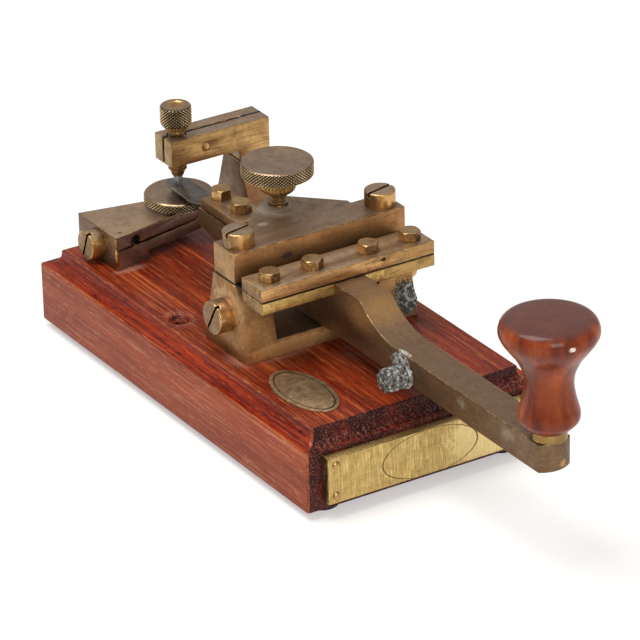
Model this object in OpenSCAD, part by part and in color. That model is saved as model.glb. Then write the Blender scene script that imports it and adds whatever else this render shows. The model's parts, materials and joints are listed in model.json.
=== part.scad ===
// Telegraph key: wooden base, brass stand and bridge, spring-hung lever with a turned knob,
// and two adjustable contacts at the rear. Millimetres. The knob points to -Y, the contacts to +Y.

/* [Base] */
// Length of the wooden base
base_l = 180; // [170:1:200]
// Width of the wooden base
base_w = 94; // [92:1:110]
// Height of the wooden base, without its feet
base_h = 27.8; // [24:0.2:34]
// Radius of the cove around the top
cove_r = 4.6; // [3:0.1:6]
// Flat ledge outside the cove
cove_ledge = 1.0; // [0.6:0.1:2]
// Upright step above the cove
cove_step = 1.0; // [0.6:0.1:2]
// Radius of a rubber foot
foot_r = 6; // [4:0.5:8]
// Height of a rubber foot
foot_h = 3; // [2:0.5:5]
// Distance of a foot's middle from the long side
foot_in_x = 11; // [9:0.5:13]
// Distance of a foot's middle from the short side
foot_in_y = 9; // [8.5:0.5:12]
// Distance of the bench holes from the middle line
bench_x = 35; // [30:0.5:38]
// Place of the bench holes along the base
bench_y = 12; // [8:0.5:30]
// Radius of a bench hole
bench_r = 2.3; // [1.6:0.1:3]
// Radius of a bench hole's countersink
bench_sink_r = 4.3; // [3.6:0.1:5]

/* [Plates] */
// Length of the front plate
plate_l = 82; // [60:1:86]
// Height of the front plate
plate_h = 17; // [14:0.1:18]
// Thickness of the front plate
plate_t = 3.5; // [2:0.1:4]
// Height of the front plate's lower edge above the base's underside
plate_z = 3.1; // [1:0.1:4]
// Distance of a pin from the plate's short edge
pin_in_x = 3.2; // [2.6:0.1:8]
// Distance of a pin from the plate's long edge
pin_in_z = 2.8; // [2.4:0.1:5]
// Radius of a pin's shank
pin_r = 0.8; // [0.5:0.1:1]
// Radius of a pin's domed head
pin_head_r = 1.5; // [1.3:0.1:2]
// Height of a pin's domed head
pin_head_h = 0.8; // [0.5:0.1:1.2]
// Length of a pin's shank in the wood
pin_l = 9; // [5:0.5:12]
// Length of the oval badge
badge_l = 34.8; // [24:0.2:38]
// Width of the oval badge
badge_w = 17.9; // [12:0.2:20]
// Thickness of the oval badge
badge_t = 0.5; // [0.3:0.1:1]
// Distance of the badge's middle from the base's left side
badge_in_x = 18.1; // [17:0.1:21]
// Distance of the badge's middle from the base's front edge
badge_in_y = 30.2; // [28:0.1:36]

/* [Stand] */
// Width of the stand over both cheeks
stand_w = 70; // [66:0.5:74]
// Depth of the stand at its foot
stand_d = 27; // [24:0.5:30]
// Depth of a cheek at its top
stand_top_d = 13.5; // [12.5:0.1:16]
// Height of the stand
stand_h = 27.7; // [26:0.1:32]
// Place of the stand's middle along the base
stand_y = -19; // [-22:0.5:-16]
// Thickness of a cheek
cheek_t = 13.5; // [12:0.5:16]
// Thickness of the stand's floor
stand_floor = 5.9; // [4:0.1:6.5]
// Thickness of the spring-steel sheet
sheet_t = 0.5; // [0.3:0.1:0.8]
// Distance of the bridge's ends inside the stand's sides
bridge_in = 0.5; // [0:0.1:2]
// Thickness of the bridge
bridge_t = 10.8; // [8:0.1:13]
// Half width of the bridge where its nose starts
nose_half = 21; // [18:0.5:22]
// Distance from the stand's middle to the tension screw
nose_reach = 20.5; // [18:0.5:24]
// Radius of the bridge's round nose
nose_r = 6.6; // [5.5:0.1:8]

/* [Screws] */
// Clearance of a shank in its hole
fit = 0.05; // [0.03:0.01:0.1]
// Distance of a bridge screw from the stand's side
bridge_screw_in = 6.4; // [5.6:0.1:7.6]
// Radius of a bridge screw's shank
bridge_screw_r = 3; // [2:0.1:3.4]
// Radius of a bridge screw's head
bridge_head_r = 5.5; // [4.5:0.1:6]
// Height of a bridge screw's head
bridge_head_h = 5.7; // [4:0.1:7]
// Length of a bridge screw in the cheek
bridge_screw_l = 8; // [6:0.5:9]
// Radius of a terminal screw's shank
term_r = 2.5; // [1.8:0.1:2.8]
// Length of a terminal screw's shank
term_l = 6; // [4:0.5:6]
// Radius of the stand terminal's head
stand_term_head_r = 6; // [5:0.1:6.5]
// Height of the stand terminal's head
stand_term_head_h = 5.2; // [3:0.1:6]
// Height of the stand terminal above the wood
stand_term_z = 14.2; // [13.5:0.1:15]
// Height of the rest block's terminal above the wood
block_term_up = 6.5; // [5.9:0.1:7]
// Radius of the head of the rest block's terminal
block_term_head_r = 5.5; // [4.5:0.1:5.8]
// Height of the head of the rest block's terminal
block_term_head_h = 5.2; // [3:0.1:6]
// Radius of the head of the lever's terminal
lever_term_head_r = 4.2; // [3.6:0.1:4.6]
// Height of the head of the lever's terminal
lever_term_head_h = 7.6; // [5:0.1:8]
// Height of the lever's terminal above the lever's underside
lever_term_up = 3.2; // [3.1:0.1:4]
// Distance of the lever's terminal in front of the sweep's start
lever_term_in = 5; // [0.5:0.5:8]
// Width of a screwdriver slot
slot_w = 1.1; // [0.8:0.1:2]
// Depth of a screwdriver slot
slot_d = 1.7; // [1:0.1:2.5]
// Radius of the screws under the base
under_r = 2.5; // [2:0.1:2.8]
// Radius of their heads
under_head_r = 4.6; // [4:0.1:5]
// Height of their heads
under_head_h = 3; // [2:0.1:3.5]
// Depth of the pockets that hold their heads
under_sink = 7; // [4:0.5:9]
// Length of these screws in the brass
under_bite = 7; // [5:0.5:7.5]
// Thickness of a wire lug
lug_t = 1.5; // [1:0.1:2]

/* [Lever] */
// Width of the lever
arm_w = 12.5; // [10:0.5:14]
// Height of the lever's front arm
arm_t = 10.1; // [9:0.1:12]
// Distance from the wood to the underside of the lever
arm_gap = 8.6; // [7:0.1:10]
// Distance of the knob from the stand's middle
knob_reach = 143.4; // [130:0.2:160]
// Distance of the lever's front end beyond the knob's axis
arm_over = 5.1; // [4.6:0.1:8]
// Radius of the lever's rounded front end
arm_end_r = 9.6; // [7:0.1:14]
// Radius of the sweep from the front arm up to the clamp
sweep_r = 34; // [28:1:44]
// Length of the flat top between the sweep and the clamp bars
arm_flat = 16.3; // [12:0.1:20]
// Depth of the rear arm's top below the spring sheet
rear_drop = 5.5; // [5:0.1:6.5]
// Distance from the stand's middle to the rear end of the arm
rear_reach = 65; // [62:0.5:66]
// Height of the arm at its rear end
rear_t = 6.5; // [5:0.1:8]
// Length of the sloped underside of the rear arm
rear_slope = 36; // [28:1:40]
// Free length of the spring sheet between stand and lever
flex_gap = 4.85; // [3:0.05:6]
// Distance of the clamp bars' ends inside the stand's sides
bar_in = 0.3; // [0:0.1:2]
// Depth of the clamp bars
bar_d = 13.1; // [11:0.1:15]
// Thickness of the upper clamp bar
bar_top_t = 4.6; // [3.5:0.1:6]
// Thickness of the lower clamp bar
bar_low_t = 4.2; // [3.5:0.1:4.4]
// Distance of the outer clamp bolts from the bars' ends
bolt_end = 6.5; // [5.2:0.1:8]
// Distance of the inner clamp bolts from the middle line
bolt_in_x = 11.2; // [10.9:0.1:16]
// Shift of the row of clamp bolts to the right
bolt_shift = 0.6; // [0:0.1:0.8]
// Size of the hexagon heads across the flats
hex_af = 6.8; // [5:0.1:7.5]
// Height of the hexagon heads
hex_h = 3.3; // [2:0.1:4]
// Height of the hexagon heads on the tongue's plate
tongue_hex_h = 3.7; // [2:0.1:4.5]
// Radius of the hexagon bolts' shanks
bolt_r = 2; // [1.5:0.1:2.2]

/* [Knob] */
// Radius of the knob at its widest
knob_r = 16.5; // [14:0.1:18]
// Radius of the knob's waist
knob_waist_r = 8.1; // [7:0.1:9.4]
// Radius of the knob's lower bulge
knob_bulge_r = 10.2; // [9.6:0.1:12]
// Height of the knob's wood
knob_h = 40; // [34:0.5:46]
// Radius of the brass ferrule
ferrule_r = 6; // [5.2:0.1:6.2]
// Height of the brass ferrule
ferrule_h = 3.7; // [2:0.1:5]
// Radius of the knob's screw
knob_screw_r = 2.4; // [2:0.1:3]
// Length of the knob's screw in the wood
knob_screw_l = 16; // [10:1:22]

/* [Contacts] */
// Distance from the stand's middle to the contacts
contact_reach = 89.3; // [88:0.1:91]
// Thickness of the steel tongue
tongue_t = 0.8; // [0.5:0.1:1.2]
// Half width of the tongue at its root
tongue_half = 5.2; // [4.6:0.1:6]
// Radius of the tongue's round tip
tongue_tip_r = 4.4; // [3.8:0.1:4.6]
// Length of the crank between the tongue's root and its tip
crank_l = 6; // [5:0.5:9]
// Depth of the tongue's tip below its root
tongue_drop = 1.8; // [1:0.1:2.4]
// Thickness of the clamp plate on the tongue
clamp_t = 3.5; // [2.5:0.1:4.5]
// Half width of the clamp plate
clamp_half = 6.5; // [5.6:0.1:7]
// Distance of the clamp plate's rear edge in front of the arm's end
clamp_in = 2.3; // [1:0.1:4]
// Length of the clamp plate
clamp_l = 26.2; // [24:0.2:30]
// Distance of the rear bolt from the plate's rear edge
clamp_bolt_in = 3.3; // [3:0.1:6]
// Distance between the two bolts of the plate
clamp_bolt_gap = 13.6; // [10:0.1:16]
// Gap of the open upper contact
contact_gap = 0.8; // [0.6:0.05:1.2]
// Gap left at the closed rest contact
rest_gap = 0.05; // [0.02:0.01:0.1]
// Radius of the contact screws' threads
stud_r = 3.4; // [2.6:0.1:3.6]
// Radius of the upper contact's silver tip
tip_r = 1.7; // [1.2:0.1:2]
// Length of the upper contact's silver tip
tip_l = 2.3; // [1.5:0.1:3]
// Radius of the rest contact's silver tip
rest_tip_r = 2.5; // [1.5:0.1:3]
// Length of the rest contact's silver tip
rest_tip_l = 2.75; // [2:0.05:3.2]
// Radius of the rest contact's knurled disc
disc_r = 12.7; // [10:0.1:13]
// Thickness of the rest contact's knurled disc
disc_t = 3.2; // [2:0.1:4]
// Radius of the upper contact's knurled head
head_r = 5.8; // [5:0.1:7]
// Height of the upper contact's knurled head
head_h = 9; // [6:0.1:11]
// Height of that head's tapered underside
head_taper = 2.7; // [1:0.1:4]
// Depth of that taper
head_taper_in = 1.5; // [0.3:0.1:1.8]
// Length of bare neck between that head and the arm
head_neck = 2.4; // [1.4:0.1:3]
// Radius of that neck
head_neck_r = 2.7; // [2:0.1:3]

/* [Contact carriers] */
// Height of the rest contact's block
block_h = 12.9; // [11:0.1:14]
// Distance of the block's wide end from the middle line
block_out = 34; // [32:0.5:36]
// Distance of the block's narrow end beyond the middle line
block_over = 5.8; // [5:0.1:7]
// Depth of the block at its wide end
block_d = 27; // [22:0.5:30]
// Depth of the block at its narrow end
block_tip_d = 10.6; // [9:0.1:12]
// Height of the undercut below the block's free end
block_lift = 3.4; // [2:0.1:4]
// Length of the block's foot
block_foot = 15; // [13:0.5:17]
// Distance of the block's screws from its wide end
block_screw_in = 9; // [8:0.5:10]
// Width of a saw cut
saw_w = 0.8; // [0.6:0.1:1.2]
// Height of the saw cut in the block above the wood
saw_z = 7.7; // [7:0.1:8.2]
// Radius of the hole at the end of the saw cut
saw_hole_r = 2.1; // [1.6:0.1:2.2]
// Distance of that hole from the block's wide end
saw_hole_in = 9; // [8.8:0.1:11]
// Width of the post and of the contact arm's foot
post_w = 12.5; // [11:0.1:14]
// Depth of the post at the wood
post_d = 28; // [22:0.5:32]
// Height of the post
post_h = 25.4; // [23:0.1:27]
// Depth of the contact arm
carm_d = 11.7; // [10:0.1:14]
// Height of the contact arm
carm_h = 10; // [8.5:0.1:12]
// Height of the contact arm's foot on the post
carm_foot = 4.6; // [4:0.1:6]
// Distance of the contact arm's free end beyond the contact
carm_over = 5.6; // [5:0.1:7]
// Distance of the contact arm's other end from the middle line
carm_out = 35.2; // [34:0.1:37]
// Distance of the pinch screw from the contact
pinch_x = 8.5; // [7.5:0.1:11]
// Radius of the pinch screw
pinch_r = 1.5; // [1:0.1:1.8]

/* [Tension screw] */
// Radius of the tension screw's knurled head
thumb_r = 12.8; // [10:0.1:14]
// Height of the tension screw's knurled head
thumb_h = 5.1; // [4:0.1:7]
// Radius of the collar under the head
collar_r = 6.5; // [5.5:0.1:7.5]
// Height of the collar under the head
collar_h = 6.7; // [4:0.1:8]
// Length of neck above the bridge
thumb_neck = 4.5; // [3:0.1:6]
// Radius of the tension screw's shank
thumb_shank_r = 3.3; // [2.8:0.1:3.6]
// Radius of the narrow neck over the shank
thumb_neck_r = 2.8; // [2.2:0.1:2.8]
// Depth of the spring's pocket in the lever
pocket_l = 7; // [5:0.1:8]
// Radius of the spring's pocket in the lever
pocket_r = 3.7; // [3.4:0.1:4.2]
// Thickness of the pusher between screw and spring
pusher_t = 1.6; // [1.2:0.1:2.4]
// Length of the pusher's stem inside the spring
pusher_stem = 3; // [2:0.1:4]
// Radius of the pusher's stem inside the spring
pusher_stem_r = 1.6; // [1:0.1:1.8]
// Middle radius of the return spring
spring_r = 2.55; // [2.4:0.05:2.7]
// Radius of the return spring's wire
wire_r = 0.35; // [0.25:0.05:0.4]
// Number of the return spring's curls
spring_turns = 6; // [4:1:7]

/* [Hidden] */
$fn = 64;

cove_h = cove_r + cove_step;
cove_w = cove_r + cove_ledge;
side_h = base_h - cove_h;
sheet_z = base_h + stand_h;
bridge_z = sheet_z + sheet_t;
bridge_top = bridge_z + bridge_t;
thumb_y = stand_y + nose_reach;
stand_term_h = base_h + stand_term_z;
cheek_x = (stand_w - cheek_t) / 2;
bridge_w = stand_w - 2 * bridge_in;
bridge_screw_x = stand_w / 2 - bridge_screw_in;
cheek_lean = (stand_d - stand_top_d) / 2 / stand_h;

bar_rear = stand_y - stand_top_d / 2 - flex_gap;
bar_front = bar_rear - bar_d;
bar_mid = (bar_rear + bar_front) / 2;
bar_w = stand_w - 2 * bar_in;
bolt_out_x = bar_w / 2 - bolt_end;
bolt_xs = [for (x = [-bolt_out_x, -bolt_in_x, bolt_in_x, bolt_out_x]) x + bolt_shift];
bolt_turns = [7, 33, 47, 28];

arm_z = base_h + arm_gap;
arm_top = arm_z + arm_t;
knob_y = stand_y - knob_reach;
sweep_end = bar_front - arm_flat;
sweep_rise = sheet_z - arm_top;
sweep_start = sweep_end - sqrt(pow(sweep_r, 2) - pow(sweep_r - sweep_rise, 2));
rear_top = sheet_z - rear_drop;
rear_y = stand_y + rear_reach;
lever_term_y = sweep_start - lever_term_in;
lever_term_z = arm_z + lever_term_up;
bar_screw_r = 2;

contact_y = stand_y + contact_reach;
clamp_rear = rear_y - clamp_in;
clamp_front = clamp_rear - clamp_l;
clamp_bolts_y = [clamp_rear - clamp_bolt_in, clamp_rear - clamp_bolt_in - clamp_bolt_gap];
tongue_z = rear_top;
tip_top = tongue_z + tongue_t - tongue_drop;
tip_under = tip_top - tongue_t;
joggle_a = rear_y + 1;
joggle_b = joggle_a + crank_l;

block_y = contact_y;
block_top = base_h + block_h;
saw_mid = base_h + saw_z;
saw_hole_x = -block_out + saw_hole_in;
saw_hole_z = saw_mid + saw_hole_r - 0.6;
block_term_z = base_h + block_term_up;
block_screw_x = -block_out + block_screw_in;
block_screw_gap = 12;
disc_top = tip_under - rest_gap - rest_tip_l;
disc_z = disc_top - disc_t;

post_mid = carm_out - post_w / 2;
post_top = base_h + post_h;
carm_z = post_top + carm_foot;
carm_top = carm_z + carm_h;
seam = 0.7;
seam_in = 0.5;
pinch_z = carm_z + carm_h / 2;
pinch_head_r = pinch_r + 1.2;
pinch_head_h = 1.8;
tip_z = tip_top + contact_gap;
stud_z = tip_z + tip_l + 2.1;

spring_z0 = rear_top - pocket_l;
pusher_z = bridge_z - 1.4 - pusher_t;
spring_z1 = pusher_z;

arm_front = knob_y - arm_over;
shift_y = -(base_l / 2 + knob_y - knob_r) / 2;

brass = "#9a7b45";
dull_brass = "#83704c";
bright_brass = "#c6a65a";
steel = "#5b626b";
silver = "#b9bcbe";
wood = "#8b3119";
rubber = "#202020";

// Everything is drawn about the middle of the base's underside, then set on its feet here
module placed() {
    translate([0, shift_y, foot_h]) children();
}

// A profile drawn as (y, z), made solid across the key
module across(w) {
    rotate([90, 0, 90]) linear_extrude(height = w, center = true) children();
}

module both_sides(x) {
    for (s = [-1, 1]) translate([s * x, 0, 0]) children();
}

// Slotted cheese-head screw: the head stands on z = 0 and the shank hangs below
module cheese_screw(head_r, head_h, r, l, turn = 0) {
    edge = 0.35;
    difference() {
        union() {
            cylinder(r = head_r, h = head_h - edge);
            translate([0, 0, head_h - edge]) cylinder(r1 = head_r, r2 = head_r - edge, h = edge);
            translate([0, 0, -l]) cylinder(r = r, h = l);
        }
        rotate(turn) translate([-head_r - 1, -slot_w / 2, head_h - slot_d])
            cube([2 * head_r + 2, slot_w, slot_d + 1]);
    }
}

// Hexagon bolt with bevelled corners: the head stands on z = 0 and the shank hangs below
module hex_bolt(h, l, turn = 0) {
    top_r = hex_af / 2 - 0.15;
    intersection() {
        rotate(turn) cylinder(r = hex_af / sqrt(3), h = h, $fn = 6);
        translate([0, 0, -1]) cylinder(r1 = top_r + (h + 1) / tan(30), r2 = top_r, h = h + 1);
    }
    translate([0, 0, -l]) cylinder(r = bolt_r, h = l);
}

// Screw that comes up from a pocket in the base's underside
module under_screw(l) {
    mirror([0, 0, 1]) cheese_screw(under_head_r, under_head_h, under_r, l, 20);
}

module under_hole() {
    translate([0, 0, -1]) cylinder(r = under_head_r + 0.6, h = under_sink + 1);
    translate([0, 0, under_sink - 0.5]) cylinder(r = under_r + fit, h = base_h);
}

module under_places(which) {
    if (which != "block" && which != "post") both_sides(cheek_x) translate([0, stand_y, 0]) children();
    if (which != "stand" && which != "post")
        for (s = [-1, 1]) translate([block_screw_x, block_y + s * block_screw_gap / 2, 0]) children();
    if (which != "stand" && which != "block") translate([post_mid, contact_y, 0]) children();
}

// Base and what is on it

module cove_cut(length) {
    rotate([90, 0, 0]) linear_extrude(height = length + 2, center = true) {
        translate([-1, 0]) square([1 + cove_ledge, cove_h + 1]);
        translate([cove_ledge, cove_r]) circle(r = cove_r);
        translate([-1, cove_r]) square([1 + cove_w, cove_step + 1]);
    }
}

module pin_places() {
    for (sx = [-1, 1], sz = [0, 1])
        translate([sx * (plate_l / 2 - pin_in_x), -base_l / 2,
                   plate_z + (sz == 0 ? pin_in_z : plate_h - pin_in_z)])
            rotate([90, 0, 0]) children();
}

module base() {
    color(wood) difference() {
        translate([-base_w / 2, -base_l / 2, 0]) cube([base_w, base_l, base_h]);
        for (s = [0, 1]) {
            mirror([s, 0, 0]) translate([-base_w / 2, 0, side_h]) cove_cut(base_l);
            mirror([0, s, 0]) translate([0, -base_l / 2, side_h]) rotate([0, 0, 90]) cove_cut(base_w);
        }
        both_sides(bench_x) translate([0, bench_y, 0]) {
            translate([0, 0, -1]) cylinder(r = bench_r, h = base_h + 2);
            translate([0, 0, base_h - (bench_sink_r - bench_r)])
                cylinder(r1 = bench_r, r2 = bench_sink_r + 1, h = bench_sink_r - bench_r + 1);
        }
        under_places("all") under_hole();
        pin_places() translate([0, 0, -pin_l - 0.2]) cylinder(r = pin_r + fit, h = pin_l + 1);
    }
}

module rubber_feet() {
    color(rubber) for (sx = [-1, 1], sy = [-1, 1])
        translate([sx * (base_w / 2 - foot_in_x), sy * (base_l / 2 - foot_in_y), -foot_h]) {
            cylinder(r1 = foot_r - 0.5, r2 = foot_r, h = 0.5);
            translate([0, 0, 0.5]) cylinder(r = foot_r, h = foot_h - 0.5);
        }
}

module nameplate() {
    color(bright_brass) difference() {
        translate([-plate_l / 2, -base_l / 2 - plate_t, plate_z]) cube([plate_l, plate_t, plate_h]);
        pin_places() translate([0, 0, -1]) cylinder(r = pin_r + fit, h = plate_t + 2);
    }
}

module nameplate_pins() {
    dome_r = (pow(pin_head_r, 2) + pow(pin_head_h, 2)) / 2 / pin_head_h;
    color(brass) pin_places() {
        translate([0, 0, -pin_l]) cylinder(r = pin_r, h = pin_l + plate_t + 0.1);
        intersection() {
            translate([0, 0, plate_t + pin_head_h - dome_r]) sphere(r = dome_r);
            translate([0, 0, plate_t]) cylinder(r = pin_head_r, h = pin_head_h + 1);
        }
    }
}

module badge() {
    steps = 72;
    color(dull_brass) translate([-base_w / 2 + badge_in_x, -base_l / 2 + badge_in_y, base_h]) linear_extrude(height = badge_t)
        polygon([for (i = [0:steps - 1])
            [badge_w / 2 * cos(i * 360 / steps), badge_l / 2 * sin(i * 360 / steps)]]);
}

// Stand, spring sheet and bridge

module stand() {
    color(brass) difference() {
        across(stand_w) polygon([
            [stand_y - stand_d / 2, base_h], [stand_y + stand_d / 2, base_h],
            [stand_y + stand_top_d / 2, sheet_z], [stand_y - stand_top_d / 2, sheet_z]]);
        translate([-stand_w / 2 + cheek_t, stand_y - stand_d, base_h + stand_floor])
            cube([stand_w - 2 * cheek_t, 2 * stand_d, stand_h]);
        both_sides(bridge_screw_x) translate([0, stand_y, sheet_z - bridge_screw_l - 0.4])
            cylinder(r = bridge_screw_r + fit, h = bridge_screw_l + 2);
        under_places("stand") translate([0, 0, base_h - 1])
            cylinder(r = under_r + fit, h = under_bite + 1.4);
        for (s = [-1, 1]) translate([s * (stand_w / 2 + 1), stand_y, stand_term_h]) rotate([0, -s * 90, 0])
            cylinder(r = term_r + fit, h = term_l + 1.4);
    }
}

module stand_screws() {
    color(dull_brass) under_places("stand") translate([0, 0, under_sink]) under_screw(base_h - under_sink + under_bite);
}

module flexure_sheet() {
    color(steel) difference() {
        translate([-bridge_w / 2, bar_front, sheet_z])
            cube([bridge_w, stand_y + stand_top_d / 2 - bar_front, sheet_t]);
        both_sides(bridge_screw_x) translate([0, stand_y, sheet_z - 1])
            cylinder(r = bridge_screw_r + fit, h = sheet_t + 2);
        for (x = bolt_xs) translate([x, bar_mid, sheet_z - 1]) cylinder(r = bolt_r + 0.3, h = sheet_t + 2);
    }
}

module bridge() {
    touch = nose_r * cos(45);
    taper_y = thumb_y + 2 * touch - nose_half;
    step_y = max(stand_y + stand_top_d / 2, taper_y);
    rear = stand_y + stand_top_d / 2;
    color(dull_brass) difference() {
        union() {
            translate([0, 0, bridge_z]) linear_extrude(height = bridge_t) polygon([
                [-bridge_w / 2, stand_y - stand_top_d / 2], [bridge_w / 2, stand_y - stand_top_d / 2],
                [bridge_w / 2, rear], [nose_half, rear], [nose_half, step_y],
                [touch, thumb_y + touch], [-touch, thumb_y + touch],
                [-nose_half, step_y], [-nose_half, rear], [-bridge_w / 2, rear]]);
            translate([0, thumb_y, bridge_z]) cylinder(r = nose_r, h = bridge_t);
        }
        both_sides(bridge_screw_x) translate([0, stand_y, bridge_z - 1])
            cylinder(r = bridge_screw_r + fit, h = bridge_t + 2);
        translate([0, thumb_y, bridge_z - 1]) cylinder(r = thumb_shank_r + fit, h = bridge_t + 2);
    }
}

module bridge_screws() {
    color(brass) both_sides(bridge_screw_x) translate([0, stand_y, bridge_top])
        cheese_screw(bridge_head_r, bridge_head_h, bridge_screw_r, bridge_t + sheet_t + bridge_screw_l, 12);
}

module stand_terminal_screws() {
    color(brass) for (s = [-1, 1]) translate([s * stand_w / 2, stand_y, stand_term_h]) rotate([0, s * 90, 0])
        cheese_screw(stand_term_head_r, stand_term_head_h, term_r, term_l, s * 30);
}

module lug(ring_r, hole_r, tail_l, tail_w) {
    linear_extrude(height = lug_t) difference() {
        union() {
            circle(r = ring_r);
            translate([0, -tail_w / 2]) square([tail_l, tail_w]);
        }
        circle(r = hole_r);
    }
}

// Lever

module upper_clamp_bar() {
    color(dull_brass) difference() {
        translate([-bar_w / 2, bar_front, bridge_z]) cube([bar_w, bar_d, bar_top_t]);
        for (x = bolt_xs) translate([x, bar_mid, bridge_z - 1]) cylinder(r = bolt_r + fit, h = bar_top_t + 2);
    }
}

module lower_clamp_bar() {
    color(brass) difference() {
        translate([-bar_w / 2, bar_front, sheet_z - bar_low_t]) cube([bar_w, bar_d, bar_low_t]);
        for (x = bolt_xs) translate([x, bar_mid, sheet_z - bar_low_t - 1])
            cylinder(r = bolt_r + fit, h = bar_low_t + 2);
        translate([0, bar_mid, sheet_z - bar_low_t - 1]) cylinder(r = bar_screw_r + fit, h = bar_low_t + 2);
    }
}

module clamp_bolts() {
    color(brass) for (i = [0:3]) translate([bolt_xs[i], bar_mid, bridge_z + bar_top_t])
        hex_bolt(hex_h, bar_top_t + sheet_t + bar_low_t - 0.2, bolt_turns[i]);
}

module lever_arm() {
    color(dull_brass) difference() {
        intersection() {
            across(arm_w) polygon([
                [arm_front, arm_z], [arm_front, arm_top], [sweep_start, arm_top], [sweep_start, sheet_z],
                [bar_front, sheet_z], [bar_front, sheet_z - bar_low_t], [bar_rear, sheet_z - bar_low_t],
                [bar_rear, rear_top], [rear_y, rear_top], [rear_y, rear_top - rear_t],
                [rear_y - rear_slope, arm_z]]);
            union() {
                translate([0, arm_front + arm_end_r, 0]) cylinder(r = arm_end_r, h = bridge_top);
                translate([-arm_w, arm_front + arm_end_r, 0])
                    cube([2 * arm_w, rear_y - arm_front - arm_end_r, bridge_top]);
            }
        }
        translate([0, sweep_start, arm_top + sweep_r]) rotate([0, 90, 0])
            cylinder(r = sweep_r, h = 2 * arm_w, center = true, $fn = 128);
        translate([0, knob_y, arm_z - 1]) cylinder(r = knob_screw_r + fit, h = arm_t + 2);
        translate([0, knob_y, arm_z - 1]) cylinder(r = knob_screw_r + 2.2, h = 3.4);
        translate([0, bar_mid, arm_z - 1]) cylinder(r = bar_screw_r + fit, h = sheet_z);
        translate([0, bar_mid, arm_z - 1]) cylinder(r = bar_screw_r + 2, h = 3.4);
        translate([0, thumb_y, spring_z0]) cylinder(r = pocket_r, h = pocket_l + 1);
        for (y = clamp_bolts_y) translate([0, y, rear_top - 4.4]) cylinder(r = bolt_r + fit, h = 6);
        translate([-arm_w / 2 - 1, lever_term_y, lever_term_z]) rotate([0, 90, 0])
            cylinder(r = term_r + fit, h = term_l + 1);
    }
}

module lever_bar_screw() {
    color(dull_brass) translate([0, bar_mid, arm_z + 2.4]) mirror([0, 0, 1])
        cheese_screw(bar_screw_r + 1.7, 2.2, bar_screw_r, sheet_z - 0.3 - arm_z - 2.4, 30);
}

// Knob outline: the radius at a height that is given as a share of the wood's height
knob_outline = [
    [0.000, ferrule_r + 1.1], [0.030, knob_bulge_r - 1.9], [0.080, knob_bulge_r - 0.3],
    [0.140, knob_bulge_r], [0.210, knob_bulge_r - 0.7], [0.300, knob_waist_r + 0.5],
    [0.390, knob_waist_r], [0.480, knob_waist_r + 0.3], [0.560, knob_waist_r + 1.4],
    [0.640, knob_r - 5.3], [0.720, knob_r - 2.9], [0.790, knob_r - 0.95], [0.860, knob_r],
    [0.920, knob_r - 0.45], [0.965, knob_r - 1.7], [0.988, knob_r - 3.5], [1.000, knob_r - 9]];

// Smooth curve through the outline: cubic spans, one point every third of a span
function span(p, q, r, s, t) =
    0.5 * (2 * q + (r - p) * t + (2 * p - 5 * q + 4 * r - s) * t * t + (3 * q - p - 3 * r + s) * t * t * t);

function smooth(list, steps) = [for (i = [0:len(list) - 2], k = [0:steps - 1])
    span(list[max(i - 1, 0)], list[i], list[i + 1], list[min(i + 2, len(list) - 1)], k / steps)];

module knob() {
    curve = smooth(knob_outline, 3);
    color(wood) translate([0, knob_y, arm_top + ferrule_h]) difference() {
        rotate_extrude() polygon(concat(
            [[0, 0]], [for (p = curve) [min(p[1], knob_r), min(p[0], 1) * knob_h]],
            [[knob_r - 9, knob_h], [0, knob_h]]));
        translate([0, 0, -1]) cylinder(r = knob_screw_r + fit, h = knob_screw_l + 1.3);
    }
}

module knob_ferrule() {
    color(bright_brass) translate([0, knob_y, arm_top]) difference() {
        cylinder(r = ferrule_r, h = ferrule_h);
        translate([0, 0, -1]) cylinder(r = knob_screw_r + fit, h = ferrule_h + 2);
    }
}

module knob_screw() {
    sunk = 2.4;
    color(steel) translate([0, knob_y, arm_z + sunk]) mirror([0, 0, 1])
        cheese_screw(knob_screw_r + 1.9, 2.2, knob_screw_r, arm_t - sunk + ferrule_h + knob_screw_l, 40);
}

module contact_tongue() {
    z = tongue_z;
    color(steel) difference() {
        intersection() {
            across(3 * tongue_half) polygon([
                [clamp_front, z], [joggle_a, z], [joggle_b, tip_under], [contact_y + 2 * tongue_tip_r, tip_under],
                [contact_y + 2 * tongue_tip_r, tip_top], [joggle_b, tip_top],
                [joggle_a, z + tongue_t], [clamp_front, z + tongue_t]]);
            translate([0, 0, tip_under - 1]) linear_extrude(height = tongue_drop + tongue_t + 2) {
                polygon([
                    [-tongue_half, clamp_front], [tongue_half, clamp_front], [tongue_half, clamp_rear],
                    [tongue_tip_r, contact_y], [-tongue_tip_r, contact_y], [-tongue_half, clamp_rear]]);
                translate([0, contact_y]) circle(r = tongue_tip_r);
            }
        }
        for (y = clamp_bolts_y) translate([0, y, z - 1]) cylinder(r = bolt_r + fit, h = tongue_t + 2);
    }
}

module tongue_plate() {
    color(dull_brass) difference() {
        translate([-clamp_half, clamp_front, tongue_z + tongue_t]) cube([2 * clamp_half, clamp_l, clamp_t]);
        for (y = clamp_bolts_y) translate([0, y, tongue_z]) cylinder(r = bolt_r + fit, h = tongue_t + clamp_t + 1);
    }
}

module tongue_bolts() {
    color(bright_brass) for (i = [0:1]) translate([0, clamp_bolts_y[i], tongue_z + tongue_t + clamp_t])
        hex_bolt(tongue_hex_h, clamp_t + tongue_t + 4, [2, 28][i]);
}

module lever_terminal_place() {
    translate([-arm_w / 2, lever_term_y, lever_term_z]) rotate([0, -90, 0]) children();
}

module lever_terminal_screw() {
    color(dull_brass) lever_terminal_place() translate([0, 0, lug_t])
        cheese_screw(lever_term_head_r, lever_term_head_h, term_r, term_l + lug_t - 0.4, 65);
}

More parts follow.
